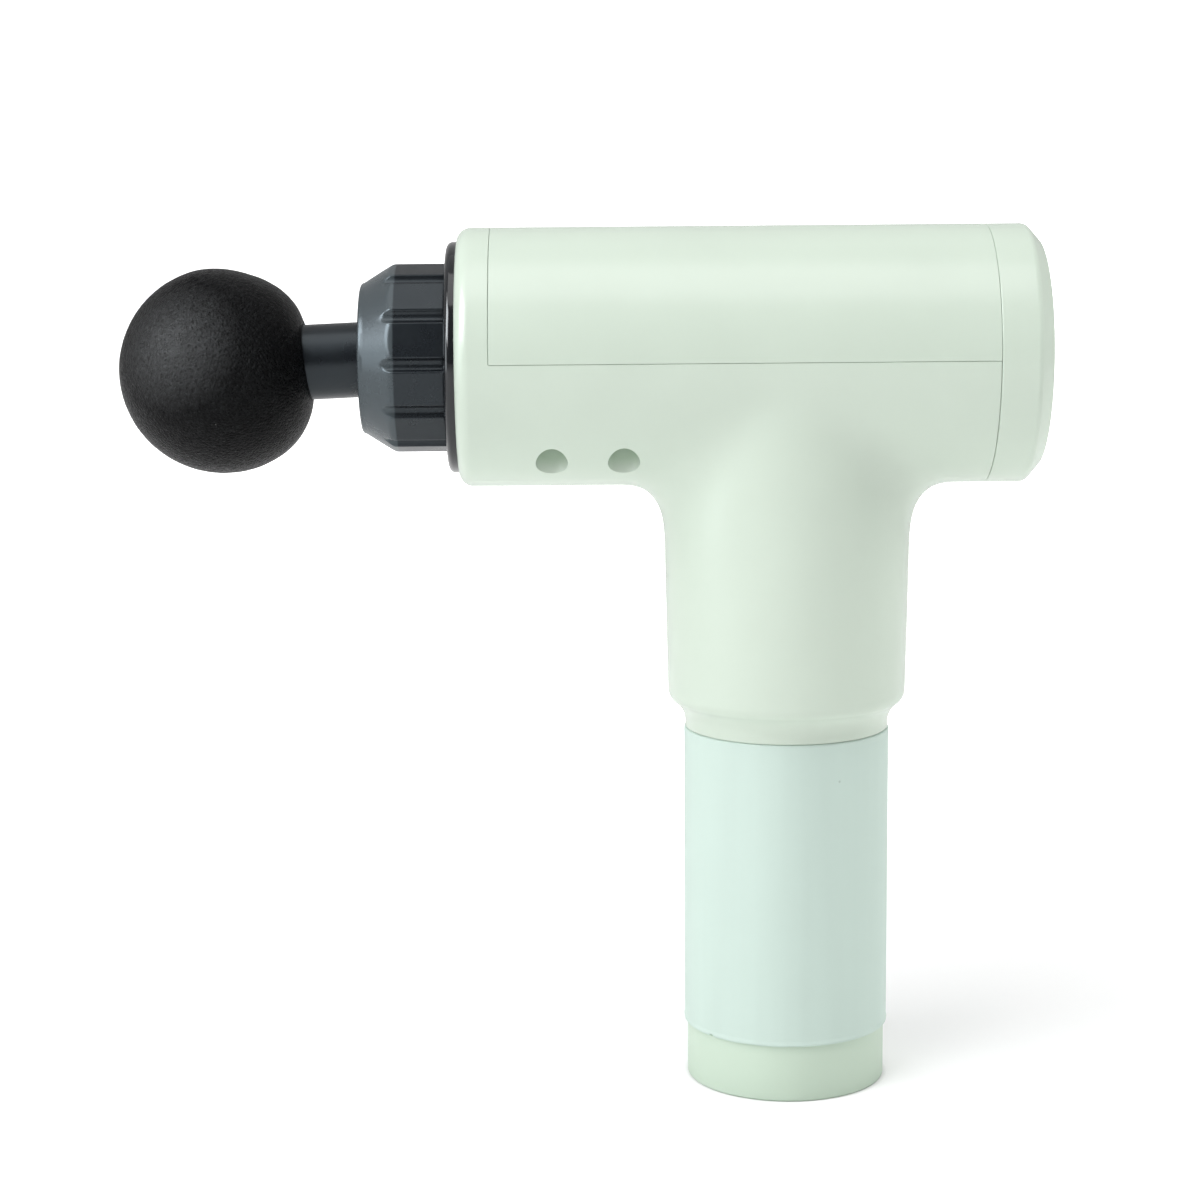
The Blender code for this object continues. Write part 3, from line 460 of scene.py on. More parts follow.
def build_rear():
    """Rear cap, its glossy panel, the light ring and the button."""
    front, rear = CAP_FRONT, CAP[1].x
    spigot = BARREL_IN - 0.0004
    cap = turned("rear_moulding", rounded([
        (CAP_FACE_R, rear, 0.0012), (BARREL_R, CAP_EDGE_X, 0.0020), (BARREL_R, front, 0.0003), (spigot, front),
        (spigot, 0.0430, 0.0004), (0.0264, 0.0430, 0.0004), (0.0264, 0.0560), (0.0215, 0.0560),
        (0.0215, 0.0579), (0.0243, 0.0579), (0.0243, rear, 0.0005)], 6), "X", (0, AXIS_Z), 224)
    stand_for(smooth(facing_out(cap)), "rear_cap", "housing", "mint_gloss_plastic")
    panel = turned("panel_lens", rounded([
        (0.0240, PANEL_X, 0.0004), (0.0240, 0.0582), (0.0084, 0.0582), (0.0084, PANEL_X, 0.0004),
        (0.0119, PANEL_X, 0.0002), (0.0119, 0.0590), (0.0141, 0.0590), (0.0141, PANEL_X, 0.0002)], 4),
        "X", (0, AXIS_Z), 160)
    stand_for(smooth(facing_out(panel)), "control_panel", "housing", "black_gloss_plastic")
    light = turned("light_diffuser", rounded([
        (0.0138, PANEL_X, 0.0003), (0.0138, 0.0593), (0.0122, 0.0593), (0.0122, PANEL_X, 0.0003)], 4),
        "X", (0, AXIS_Z), 128)
    stand_for(smooth(facing_out(light)), "light_ring", "housing", "light_guide")
    dish = [(0.0068 * sin(pi / 2 * k / 10), 0.06035 + 0.0003 * (k / 10) ** 2) for k in range(10)]
    button = turned("button_cap", rounded([
        *dish, (0.0072, 0.0607, 0.0004), (0.0080, PANEL_X, 0.0004), (0.0080, 0.0573), (0.0093, 0.0573),
        (0.0093, 0.0565), (0.0020, 0.0565), (0.0020, 0.0546), (0, 0.0546)], 4), "X", (0, AXIS_Z), 112)
    stand_for(smooth(facing_out(button)), "speed_button", "button", "black_gloss_plastic")


# ---- nose -----------------------------------------------------------------------------------
def collar_outline():
    """Angles and radii round the collar: flats joined by concave flutes with softened edges."""
    half = COLLAR_FLAT_R * np.tan(pi / FLUTES)
    soft = 0.00048
    centre = np.array([COLLAR_FLAT_R - soft, half - sqrt((FLUTE_R + soft) ** 2 - soft ** 2)])
    corner = np.array([COLLAR_FLAT_R, half])
    toward = atan2(*(corner - centre)[::-1])
    points = [(COLLAR_FLAT_R, centre[1] * k / 4) for k in range(4)]
    points += [tuple(centre + soft * np.array([cos(a), sin(a)])) for a in np.linspace(0, toward, 7)]
    for a in np.linspace(toward + pi, pi + pi / FLUTES, 9)[1:]:
        points.append(tuple(corner + FLUTE_R * np.array([cos(a), sin(a)])))
    half_sector = [(atan2(y, x), sqrt(x * x + y * y)) for x, y in points]
    sector = [(-a, r) for a, r in reversed(half_sector[1:-1])] + half_sector
    out = []
    for k in range(FLUTES):
        middle = (2 * k + 1) * pi / FLUTES
        out += [(middle + a, r) for a, r in sector]
    return np.array(out)


def soft_min(a, b, reach):
    """The smaller of two values, with the crease between them rounded."""
    mix = np.clip(0.5 + 0.5 * (b - a) / reach, 0, 1)
    return b * (1 - mix) + a * mix - reach * mix * (1 - mix)


def build_collar():
    outline = collar_outline()
    angles, radii = outline[:, 0], outline[:, 1]
    size = len(outline)
    front, back = COLLAR[0].x, RING[0].x - HAIRLINE
    cone_end = front + CONE_LENGTH
    cone_r = COLLAR_FLAT_R / cos(pi / FLUTES) + 0.0002
    back_round, mouth_round, nose_round = 0.0004, 0.0003, 0.0008
    steps = list(np.linspace(back - back_round, cone_end + 0.0015, 6))
    steps += list(np.linspace(cone_end + 0.0013, cone_end - 0.0034, 34))
    steps += list(np.linspace(cone_end - 0.0042, front + nose_round, 6))
    rows = []

    def row(x, r):
        rows.append(np.stack([np.full(size, x), r * np.sin(angles), AXIS_Z + r * np.cos(angles)], 1))

    for k in range(4):
        a = pi / 2 * k / 4
        row(back - back_round * (1 - cos(a)), radii - back_round * (1 - sin(a)))
    for x in steps:
        share = (cone_end - x) / CONE_LENGTH
        cone = cone_r - (cone_r - COLLAR_FRONT_R) * share
        row(x, soft_min(radii, np.full(size, cone), 0.00040))
    last = COLLAR_FRONT_R + (cone_r - COLLAR_FRONT_R) * nose_round / CONE_LENGTH
    for k in range(1, 7):
        a = pi / 2 * k / 6
        row(front + nose_round * (1 - sin(a)), np.full(size, last - 0.0009 * (1 - cos(a))))
    lip, step = STEM_R + 0.0007, -0.1006
    for k in range(5):
        a = pi / 2 * k / 4
        row(front + mouth_round * (1 - cos(a)), np.full(size, lip + mouth_round * (1 - sin(a))))
    for x, r in ((step, lip), (step, NOSE_BORE), (back, NOSE_BORE)):
        row(x, np.full(size, r))
    faces = ring_faces(len(rows), size, closed_rows=True)
    collar = facing_out(new_piece("collar_moulding", np.concatenate(rows), faces))
    stand_for(smooth(collar, 50), "nose_collar", "housing", "charcoal_plastic")


def build_nose():
    """Ring behind the collar, the collar and the wiper in its mouth."""
    inwards, along = 0.0018, 0.0015
    front, back = RING[0].x, BODY[0].x - HAIRLINE
    edge = [(RING_R - inwards * (1 - cos(a)), front + along * (1 - sin(a)))
            for a in np.linspace(0, pi / 2, 13)]
    ring = turned("ring_trim", [(RING_R, back), *edge, (NOSE_BORE, front), (NOSE_BORE, back)],
                  "X", (0, AXIS_Z), 256)
    stand_for(smooth(facing_out(ring)), "flange_ring", "housing", "black_gloss_plastic")
    build_collar()
    low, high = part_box("wiper_seal")
    lip = (low.x + high.x) / 2
    wiper = turned("wiper_lip", rounded([
        (0.0155, high.x), (0.0155, low.x, 0.0003), (0.0112, low.x, 0.0006), (0.0102, lip - 0.0002),
        (0.0095, low.x, 0.0001), (0.0095, high.x, 0.0003)], 4), "X", (0, AXIS_Z), 96)
    stand_for(smooth(facing_out(wiper)), "wiper_seal", "housing", "black_rubber")


# ---- head -----------------------------------------------------------------------------------
def grain(point, scale, seed=0.0):
    """Smooth noise in -1...1 at this many waves a metre."""
    return noise.noise(point * scale + Vector((seed, seed * 1.7, -seed)))


def ball_surface(normal, point):
    """How far the foam stands out: skin pebbles, shallow dents, a pressed crown and a worn, pitted patch."""
    pebble = grain(point, 1150) * 0.55 + grain(point, 2300, 3.1) * 0.45
    dents = noise.fractal(point * 260 + Vector((5.3, 1.2, 8.8)), 0.6, 2.1, 3)
    wide = grain(point, 55, 9.7)
    flat_at = Vector((0.33, 0.0, 0.94)).normalized()
    pressed = min(1.0, max(0.0, 1 - (normal - flat_at).length / 0.62))
    pressed = pressed * pressed * (3 - 2 * pressed)
    worn_at = Vector((-0.22, -0.52, 0.83)).normalized()
    away = (normal - worn_at).length + 0.10 * grain(point, 330, 4.4)
    worn = max(0.0, 1 - away / 0.34)
    pits = max(0.0, grain(point, 950, 7.7) - 0.12) * worn
    return pebble * 0.000042 + dents * 0.000030 + wide * 0.00007 - pits * 0.00075 - pressed * 0.00085


def foam_radius(a):
    """The ball's radius by angle from the stem's axis: it draws in towards the stem."""
    edge = atan2(BALL_RIM, BALL_FLAT)
    pull = max(0.0, (radians(64) - a) / (radians(64) - edge))
    return BALL_R - (BALL_R - sqrt(BALL_RIM ** 2 + BALL_FLAT ** 2)) * pull ** 2


def stem_axis(x):
    """Height of the stem's axis, which sags outside the collar."""
    return AXIS_Z - STEM_SAG * max(0.0, SAG_FROM - x)


def build_ball(count=420, rows=210):
    """The foam ball with its flat and the socket for the stem."""
    droop = Vector((cos(BALL_DROOP), 0, sin(BALL_DROOP)))
    up, side = Vector((-sin(BALL_DROOP), 0, cos(BALL_DROOP))), Vector((0, 1, 0))
    edge = atan2(BALL_RIM, BALL_FLAT)
    around = [2 * pi * c / count for c in range(count)]
    pole, lip = 0.006, 0.02
    verts = []
    for k in range(rows + 1):
        a = pi - pole - (pi - pole - edge - lip) * k / rows
        radius = foam_radius(a)
        fade = min(1.0, (a - edge) / 0.12)
        for b in around:
            normal = droop * cos(a) + (up * cos(b) + side * sin(b)) * sin(a)
            point = BALL_AT + normal * radius
            verts.append(point + normal * ball_surface(normal, point) * fade)
    for along, out in ((BALL_FLAT + 0.00008, BALL_RIM), (BALL_FLAT, BALL_RIM - 0.00018)):
        for b in around:
            verts.append(BALL_AT + droop * along + (up * cos(b) + side * sin(b)) * out)
    socket, bottom = STEM_R + 0.0001, STEM[0].x - GAP
    for b in around:
        y, rise = socket * sin(b), socket * cos(b)
        z = stem_axis(BALL_AT.x + BALL_FLAT) + rise
        x = BALL_AT.x + (BALL_FLAT - (z - BALL_AT.z) * sin(BALL_DROOP)) / cos(BALL_DROOP)
        verts.append(Vector((x, y, z)))
    for b in around:
        verts.append(Vector((bottom, socket * sin(b), stem_axis(bottom) + socket * cos(b))))
    total = len(verts) // count
    faces = ring_faces(total, count)
    faces.append(tuple(reversed(range(count))))
    faces.append(tuple((total - 1) * count + c for c in range(count)))
    ball = facing_out(new_piece("foam_head", verts, faces))
    return stand_for(smooth(ball, 60), "foam_ball", "head", "black_foam")


def split_long(profile, longest):
    """Extra points on a profile's long straight runs."""
    out = []
    for i, (r, h) in enumerate(profile):
        out.append((r, h))
        if i + 1 < len(profile):
            r2, h2 = profile[i + 1]
            parts = max(1, int(abs(h2 - h) / longest))
            out += [(r + (r2 - r) * k / parts, h + (h2 - h) * k / parts) for k in range(1, parts)]
    return out


def build_stem():
    """The hard stem, with its two sealing grooves."""
    groove, depth, soft = 0.0016, 0.0012, 0.00015
    seals = [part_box(name) for name in ("stem_seal_rear", "stem_seal_front")]
    profile = [(0, STEM[1].x), (STEM_R, STEM[1].x, 0.0010)]
    for low, high in seals:
        x = (low.x + high.x) / 2
        profile += [(STEM_R, x + groove / 2, soft), (STEM_R - depth, x + groove / 2, soft),
                    (STEM_R - depth, x - groove / 2, soft), (STEM_R, x - groove / 2, soft)]
    hollow, depth_in = 0.0062, 0.045
    profile += [(STEM_R, STEM[0].x, 0.0004), (hollow, STEM[0].x, 0.0003), (hollow, STEM[0].x + depth_in),
                (0, STEM[0].x + depth_in)]
    profile = split_long(rounded(profile, 4), 0.004)
    stem = turned("stem_shaft", profile, "X", (0, AXIS_Z), 144)
    for v in stem.data.vertices:
        v.co.z += stem_axis(v.co.x) - AXIS_Z
    stand_for(smooth(facing_out(stem)), "head_stem", "head", "charcoal_plastic")


# ---- handle ---------------------------------------------------------------------------------
def build_sleeve():
    """The silicone sleeve, its lower edge a little uneven, with one small nick."""
    low, high = SLEEVE[0].z, SLEEVE[1].z
    inner = 0.0237
    profile = rounded([(SLEEVE_R, high, 0.0005), (SLEEVE_R, high * 0.66 + low * 0.34),
                       (SLEEVE_R, high * 0.33 + low * 0.67), (SLEEVE_R, low + 0.0013, 0.0006),
                       (SLEEVE_R + 0.00016, low + 0.0006, 0.0003), (SLEEVE_R + 0.00010, low, 0.0003),
                       (inner, low), (inner, high)], 6)
    sleeve = facing_out(turned("sleeve_moulding", profile, count=288))
    nick_x = -0.0195
    nick_at = Vector((nick_x, -sqrt(SLEEVE_R ** 2 - nick_x ** 2), low))
    for v in sleeve.data.vertices:
        out = Vector((v.co.x, v.co.y, 0)).normalized()
        around = out * 0.05
        near_edge = max(0.0, 1 - (v.co.z - low) / 0.0022)
        v.co += out * 0.00005 * grain(Vector((around.x, around.y, v.co.z * 0.4)), 120)
        nick = max(0.0, 1 - (Vector(v.co) - nick_at).length / 0.0011)
        v.co.z += near_edge * (0.00008 * grain(around, 160, 2.2)) + nick * 0.00045
        v.co -= out * nick * 0.00020
    return stand_for(smooth(sleeve), "grip_sleeve", "battery", "mint_silicone")


def build_base():
    rim = SLEEVE[0].z - SEAM
    base = turned("base_moulding", rounded([
        (0, WALL), (0.0221, WALL), (0.0221, 0.0090), (0.0201, 0.0110), (0.0201, 0.0170, 0.0004),
        (0.0215, 0.0170, 0.0004), (0.0215, rim), (BASE_R, rim, 0.0002), (BASE_R, 0.0, 0.0005), (0, 0.0)], 5),
        count=224)
    facing_out(base)
    house_low, house_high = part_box("switch_body")
    margin = 0.0003
    window = window_cutter("window", (house_low.x - margin, house_low.y - margin, -0.010),
                           (house_high.x + margin, house_high.y + margin, 0.010), 0.0006)
    hole = turned("hole", [(0, 0.010), (0.0043, 0.010), (0.0043, -0.010), (0, -0.010)],
                  at=middle_of("charge_socket"), count=64)
    cut_with(base, facing_out(window), facing_out(hole))
    stand_for(smooth(base), "bottom_cap", "battery", "mint_base_plastic")


def window_cutter(name, low, high, width):
    """A box with its upright edges rounded."""
    box = box_piece(name, low, high)
    bm = bmesh.new()
    bm.from_mesh(box.data)
    edges = [e for e in bm.edges if abs(e.verts[0].co.z - e.verts[1].co.z) > 1e-6]
    bmesh.ops.bevel(bm, geom=edges, offset=width, segments=4, profile=0.5, affect="EDGES")
    bm.to_mesh(box.data)
    bm.free()
    return box


def facing_out(obj):
    bm = bmesh.new()
    bm.from_mesh(obj.data)
    bmesh.ops.recalc_face_normals(bm, faces=bm.faces)
    if bm.calc_volume(signed=True) < 0:
        bmesh.ops.reverse_faces(bm, faces=bm.faces)
    bm.to_mesh(obj.data)
    bm.free()
    return obj


def build_switch():
    """Switch frame, its rocker with raised on and off marks, and the charging jack."""
    low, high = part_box("switch_body")
    frame_piece = box_piece("switch_frame", low, high)
    room = box_piece("room", (-0.0071, low.y + 0.0009, -0.010), (0.0071, high.y - 0.0009, 0.0100))
    cut_with(frame_piece, room)
    stand_for(smooth(soft_edges(frame_piece, 0.00025)), "switch_body", "battery", "black_plastic")

    tilt = radians(-8)
    pivot = Vector((0, (low.y + high.y) / 2, 0.0055))
    face = [(x, 0.0025 - 0.0009 * (x / 0.0062) ** 2) for x in np.linspace(-0.0062, 0.0062, 13)]
    section = face + [(0.0060, 0.0036), (0.0025, 0.0070), (-0.0025, 0.0070), (-0.0060, 0.0036)]
    width = 0.0037
    verts = [(x, way * width, z - pivot.z) for way in (-1, 1) for x, z in section]
    size = len(section)
    faces = ring_faces(2, size) + [tuple(reversed(range(size))), tuple(size + c for c in range(size))]
    rocker = soft_edges(facing_out(new_piece("rocker_cap", verts, faces)), 0.0003, 60)
    marks = [box_piece("on_mark", (-0.0045, -0.0011, -0.0042), (-0.0042, 0.0011, -0.0033))]
    ring = [(0.0012, -0.0033), (0.0012, -0.0042), (0.0009, -0.0042), (0.0009, -0.0033)]
    marks.append(facing_out(turned("off_mark", ring, at=(0.0042, 0), count=32)))
    cut_with(rocker, *marks, operation="UNION")
    rocker.data.transform(Matrix.Translation(pivot) @ Matrix.Rotation(tilt, 4, "Y"))
    stand_for(smooth(rocker), "switch_rocker", "rocker", "charcoal_plastic")

    low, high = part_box("charge_socket")
    jack = turned("charge_jack", rounded([
        (0, high.z), (0.0040, high.z), (0.0040, low.z, 0.0002), (0.0028, low.z, 0.0003), (0.0028, 0.0095),
        (0.0008, 0.0095), (0.0008, 0.0020, 0.0004), (0, 0.0020)], 4), at=middle_of("charge_socket"),
        count=96)
    stand_for(smooth(facing_out(jack)), "charge_socket", "battery", "black_plastic")


def build_screws():
    """Pan-head screws with a cross recess, seen in the wells."""
    for i, (x, y) in enumerate(well_places(), 1):
        low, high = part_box(f"cover_screw_{i}")
        face, seat = low.z, low.z + 0.0024
        screw = facing_out(turned(f"well_screw_{i}", rounded([
            (0, high.z), (0.0013, high.z - 0.001, 0.0003), (0.0013, seat), (0.0031, seat, 0.0002),
            (0.0031, face + 0.0005, 0.0009), (0.0018, face), (0, face)], 4), at=(x, y), count=64))
        slots = []
        for wide, deep in ((0.0020, 0.00035), (0.00035, 0.0020)):
            slots.append(box_piece(f"slot_{i}", (x - wide, y - deep, face - 0.001),
                                   (x + wide, y + deep, face + 0.0012)))
        cut_with(screw, *slots)
        stand_for(smooth(screw), f"cover_screw_{i}", "housing", "steel")


# ---- materials ------------------------------------------------------------------------------
def linear(colour):
    """sRGB 0...255 to linear."""
    return tuple(((c / 255 + 0.055) / 1.055) ** 2.4 if c > 10 else c / 255 / 12.92 for c in colour) + (1.0,)


def shaded(tone, factor):
    """A darker or lighter version of a linear colour."""
    return tuple(c * factor for c in tone[:3]) + (1.0,)


class Nodes:
    """Short calls for a material's node tree."""

    def __init__(self, name):
        self.material = bpy.data.materials.new(name)
        self.material.use_nodes = True
        self.tree = self.material.node_tree
        self.shader = self.tree.nodes["Principled BSDF"]
        self.place = self.add("ShaderNodeTexCoord").outputs["Object"]

    def add(self, kind, inputs=None, **settings):
        node = self.tree.nodes.new(kind)
        for key, value in settings.items():
            setattr(node, key, value)
        for key, value in (inputs or {}).items():
            self.put(node.inputs[key], value)
        return node

    def put(self, socket, value):
        if isinstance(value, bpy.types.NodeSocket):
            self.tree.links.new(value, socket)
        else:
            socket.default_value = value

    def noise(self, scale, detail=2.0, rough=0.5, stretch=None):
        vector = self.place
        if stretch:
            vector = self.add("ShaderNodeMapping", {"Vector": self.place, "Scale": stretch}).outputs[0]
        return self.add("ShaderNodeTexNoise", {"Vector": vector, "Scale": scale, "Detail": detail,
                                               "Roughness": rough}).outputs["Fac"]

    def cells(self, scale):
        return self.add("ShaderNodeTexVoronoi", {"Vector": self.place, "Scale": scale}).outputs["Distance"]

    def away(self, point=(0, 0, 0)):
        """Distance from a point."""
        inputs = {0: self.place, 1: tuple(point)}
        return self.add("ShaderNodeVectorMath", inputs, operation="DISTANCE").outputs["Value"]

    def span(self, value, low, high, to_low=0.0, to_high=1.0):
        return self.add("ShaderNodeMapRange", {"Value": value, "From Min": low, "From Max": high,
                                               "To Min": to_low, "To Max": to_high}).outputs[0]

    def mix(self, factor, first, second):
        node = self.add("ShaderNodeMix", data_type="RGBA")
        self.put(node.inputs["Factor"], factor)
        self.put(node.inputs[6], first)
        self.put(node.inputs[7], second)
        return node.outputs[2]

    def math(self, operation, first, second):
        return self.add("ShaderNodeMath", {0: first, 1: second}, operation=operation).outputs[0]

    def bump(self, height, strength, distance, below=None):
        inputs = {"Height": height, "Strength": strength, "Distance": distance}
        if below is not None:
            inputs["Normal"] = below
        return self.add("ShaderNodeBump", inputs).outputs[0]

    def edge(self):
        """1 on convex edges, 0 elsewhere."""
        return self.span(self.add("ShaderNodeNewGeometry").outputs["Pointiness"], 0.52, 0.62)

    def set(self, **values):
        names = {"colour": "Base Color", "rough": "Roughness", "metal": "Metallic", "normal": "Normal",
                 "specular": "Specular IOR Level", "specular_tint": "Specular Tint",
                 "coat": "Coat Weight", "coat_rough": "Coat Roughness", "sheen": "Sheen Weight",
                 "sheen_rough": "Sheen Roughness", "through": "Transmission Weight",
                 "glow": "Emission Color", "glow_power": "Emission Strength"}
        for key, value in values.items():
            self.put(self.shader.inputs[names[key]], value)
        return self.material


def about_barrel(n, middle=0.0):
    """Distance along the barrel from middle, and distance from the barrel's axis."""
    start = (middle, 0.0, AXIS_Z)
    about = n.add("ShaderNodeVectorMath", {0: n.place, 1: start}, operation="SUBTRACT").outputs[0]
    across = n.add("ShaderNodeVectorMath", {0: about, 1: (0.0, 1.0, 1.0)}, operation="MULTIPLY").outputs[0]
    radius = n.add("ShaderNodeVectorMath", {0: across}, operation="LENGTH").outputs["Value"]
    return n.add("ShaderNodeSeparateXYZ", {0: about}).outputs["X"], radius


def painted_well_shade(n):
    """Mask of painted shade: 0 on the outside of the barrel, rising to 1 down the wells of the cover's screws.
    """
    places = well_places()
    middle = sum(place[0] for place in places) / len(places)
    reach = max(place[0] for place in places) - middle + WELL_R + GAP
    along, radius = about_barrel(n, middle)
    near = n.span(n.math("ABSOLUTE", along, 0.0), reach, reach + 0.0002, 1.0, 0.0)
    return n.math("MULTIPLY", near, n.span(radius, BARREL_R - 0.0002, BARREL_R - 0.0030))


def painted_cone_highlight(n):
    """Mask of a painted highlight: 1 on the cone of the nose collar, 0 behind it and on the stem."""
    along, radius = about_barrel(n)
    end = COLLAR[0].x + CONE_LENGTH
    ahead = n.span(along, end - 0.0004, end, 1.0, 0.0)
    return n.math("MULTIPLY", ahead, n.span(radius, COLLAR_FRONT_R - 0.0015, COLLAR_FRONT_R - 0.0005))


def moulded(name, colour, rough, texture=0.00004, wave=900, tint=0.97, wells=False):
    """Moulded plastic: slight tint drift, flow-dependent gloss and a fine skin; with wells, painted shade makes
    it darker deeper down the screw wells.
    """
    n = Nodes(name)
    base = linear(colour)
    drift = n.span(n.noise(38, 3.0), 0.30, 0.70)
    gloss = n.span(n.noise(95, 3.0, 0.5), 0.25, 0.75, rough * 0.95, rough * 1.05)
    skin = n.bump(n.noise(wave, 2.0, 0.5), 0.16, texture)
    swell = n.bump(n.noise(45, 0.0), 0.10, 0.00008, skin)
    body = n.mix(drift, base, shaded(base, tint))
    if wells:
        # painted shade: the colour turns darker and greener down the screw wells, where the recess lies in
        # shade
        deep = tuple(c * part for c, part in zip(base[:3], (0.72, 0.80, 0.71))) + (1.0,)
        body = n.mix(painted_well_shade(n), body, deep)
    return n.set(colour=body, rough=gloss, normal=swell)


def silicone(name, colour, rough):
    """Soft-touch silicone: matt, with faint lengthwise flow marks, specks and one small pit."""
    n = Nodes(name)
    base = linear(colour)
    flow = n.span(n.noise(140, 2.0, 0.5, (1.0, 1.0, 0.06)), 0.30, 0.70)
    body = n.mix(flow, base, shaded(base, 0.965))
    speck = n.span(n.cells(520), 0.0, 0.055, 1.0, 0.0)
    rare = n.span(n.noise(210, 0.0), 0.66, 0.70)
    body = n.mix(n.math("MULTIPLY", n.math("MULTIPLY", speck, rare), 0.35), body, linear((150, 168, 156)))
    pit = n.span(n.away((0.0112, -0.0226, 0.0797)), 0.00012, 0.00042, 1.0, 0.0)
    body = n.mix(n.math("MULTIPLY", pit, 0.5), body, linear((136, 154, 142)))
    matte = n.span(n.noise(160, 4.0, 0.6), 0.25, 0.75, rough - 0.05, rough + 0.06)
    skin = n.bump(n.noise(2600, 2.0, 0.6), 0.35, 0.00003)
    dent = n.bump(n.math("SUBTRACT", 1.0, pit), 0.5, 0.0002, skin)
    return n.set(colour=body, rough=matte, normal=dent, sheen=0.08, sheen_rough=0.45, specular=0.35)


def foam(name):
    """Closed-cell foam skin: pebbled, matte, rubbed shiny on its upper left, with pale dust in the pores; its
    pebble tops are painted lighter, most of all in the highlight on the upper left, as painted glints.
    """
    n = Nodes(name)
    # the rubbed patch sits where the key light's highlight falls on the ball
    worn_at = BALL_AT + Vector((-0.38, -0.86, 0.34)) * BALL_R
    rubbed_and_highlight = n.span(n.away(worn_at), 0.003, 0.017, 1.0, 0.0)
    pebbles = n.noise(1150, 5.0, 0.72)
    pores = n.span(n.cells(1250), 0.05, 0.55)
    blotch = n.span(n.noise(200, 4.0, 0.6), 0.30, 0.72)
    body = n.mix(blotch, linear((1, 1, 2)), linear((5, 5, 6)))
    # painted highlight: pebble tops are painted a little lighter everywhere, and fully in the rubbed patch, as
    # glints
    pebble_tone_and_glints = n.math("MULTIPLY", n.span(pebbles, 0.48, 0.66), n.span(rubbed_and_highlight, 0.0, 1.0, 0.35, 1.0))
    body = n.mix(pebble_tone_and_glints, body, linear((44, 46, 47)))
    dust = n.math("MULTIPLY", n.span(n.cells(420), 0.0, 0.08, 1.0, 0.0), n.span(n.noise(150, 1.0), 0.56, 0.62))
    body = n.mix(n.math("MULTIPLY", dust, 0.8), body, linear((132, 132, 130)))
    rough = n.span(pebbles, 0.35, 0.65, 0.42, 0.24)
    skin = n.bump(pores, 0.8, 0.00035)
    skin = n.bump(pebbles, 1.0, 0.00050, skin)
    return n.set(colour=body, rough=rough, normal=skin, specular=n.span(rubbed_and_highlight, 0.0, 1.0, 0.09, 0.52))


def satin_dark(name, colour, rough, worn=(110, 114, 118), wear_and_highlight=0.45, cool=(1.0, 1.0, 1.0), cone=None):
    """Dark plastic with a fine spark-eroded texture, scuffed along its edges, where a light scuff colour also
    serves as painted edge highlights; cone paints a paler highlight tone onto the collar's cone.
    """
    n = Nodes(name)
    base = linear(colour)
    drift = n.span(n.noise(70, 3.0), 0.3, 0.7)
    body = n.mix(drift, base, shaded(base, 1.12))
    # scuffs on convex edges; with the charcoal's light edge colour they are painted edge highlights as well as
    # wear
    scuff_and_highlight = n.math("MULTIPLY", n.edge(), n.span(n.noise(420, 4.0, 0.65), 0.50, 0.72))
    body = n.mix(n.math("MULTIPLY", scuff_and_highlight, wear_and_highlight), body, linear(worn))
    # painted highlight: the collar's cone is painted paler, in place of the lights' reflection on it
    if cone:
        body = n.mix(n.math("MULTIPLY", painted_cone_highlight(n), 0.85), body, linear(cone))
    gloss = n.span(n.noise(130, 4.0, 0.6), 0.25, 0.75, rough * 0.85, rough * 1.15)
    skin = n.bump(n.noise(1900, 3.0, 0.6), 0.30, 0.00004)
    return n.set(colour=body, rough=gloss, normal=skin, specular_tint=(*cool, 1.0))


def polished(name, colour, rough):
    """Glossy black plastic with a few hairline scratches and dust."""
    n = Nodes(name)
    hair = n.span(n.noise(260, 6.0, 0.75, (1.0, 0.12, 1.0)), 0.60, 0.66)
    dust = n.span(n.cells(900), 0.0, 0.05, 1.0, 0.0)
    body = n.mix(n.math("MULTIPLY", dust, 0.18), linear(colour), linear((120, 124, 126)))
    gloss = n.span(hair, 0.0, 1.0, rough, rough * 1.8)
    skin = n.bump(n.noise(700, 2.0), 0.10, 0.00003)
    return n.set(colour=body, rough=gloss, normal=skin, coat=0.25, coat_rough=0.06)


def metal(name, colour, rough, stretch=None, spots=0.0, scale=700):
    """Bare metal with turning marks or a cast skin."""
    n = Nodes(name)
    base = linear(colour)
    grain_out = n.noise(scale, 5.0, 0.6, stretch)
    body = n.mix(n.span(grain_out, 0.3, 0.7), base, shaded(base, 0.82))
    if spots:
        stain = n.span(n.noise(180, 4.0, 0.7), 0.56, 0.70, 0.0, spots)
        body = n.mix(stain, body, shaded(base, 0.5))
    gloss = n.span(grain_out, 0.3, 0.7, rough * 0.75, rough * 1.3)
    return n.set(colour=body, rough=gloss, metal=1.0, normal=n.bump(grain_out, 0.25, 0.00005))


def windings(name):
    """Enamelled copper wire, laid side by side."""
    n = Nodes(name)
    wires = n.add("ShaderNodeTexWave", {"Vector": n.place, "Scale": 620.0, "Distortion": 1.5, "Detail": 1.0},
                  bands_direction="Z").outputs["Fac"]
    body = n.mix(wires, linear((112, 52, 22)), linear((206, 118, 60)))
    return n.set(colour=body, rough=n.span(wires, 0, 1, 0.42, 0.22), metal=0.85,
                 normal=n.bump(wires, 0.6, 0.0002))


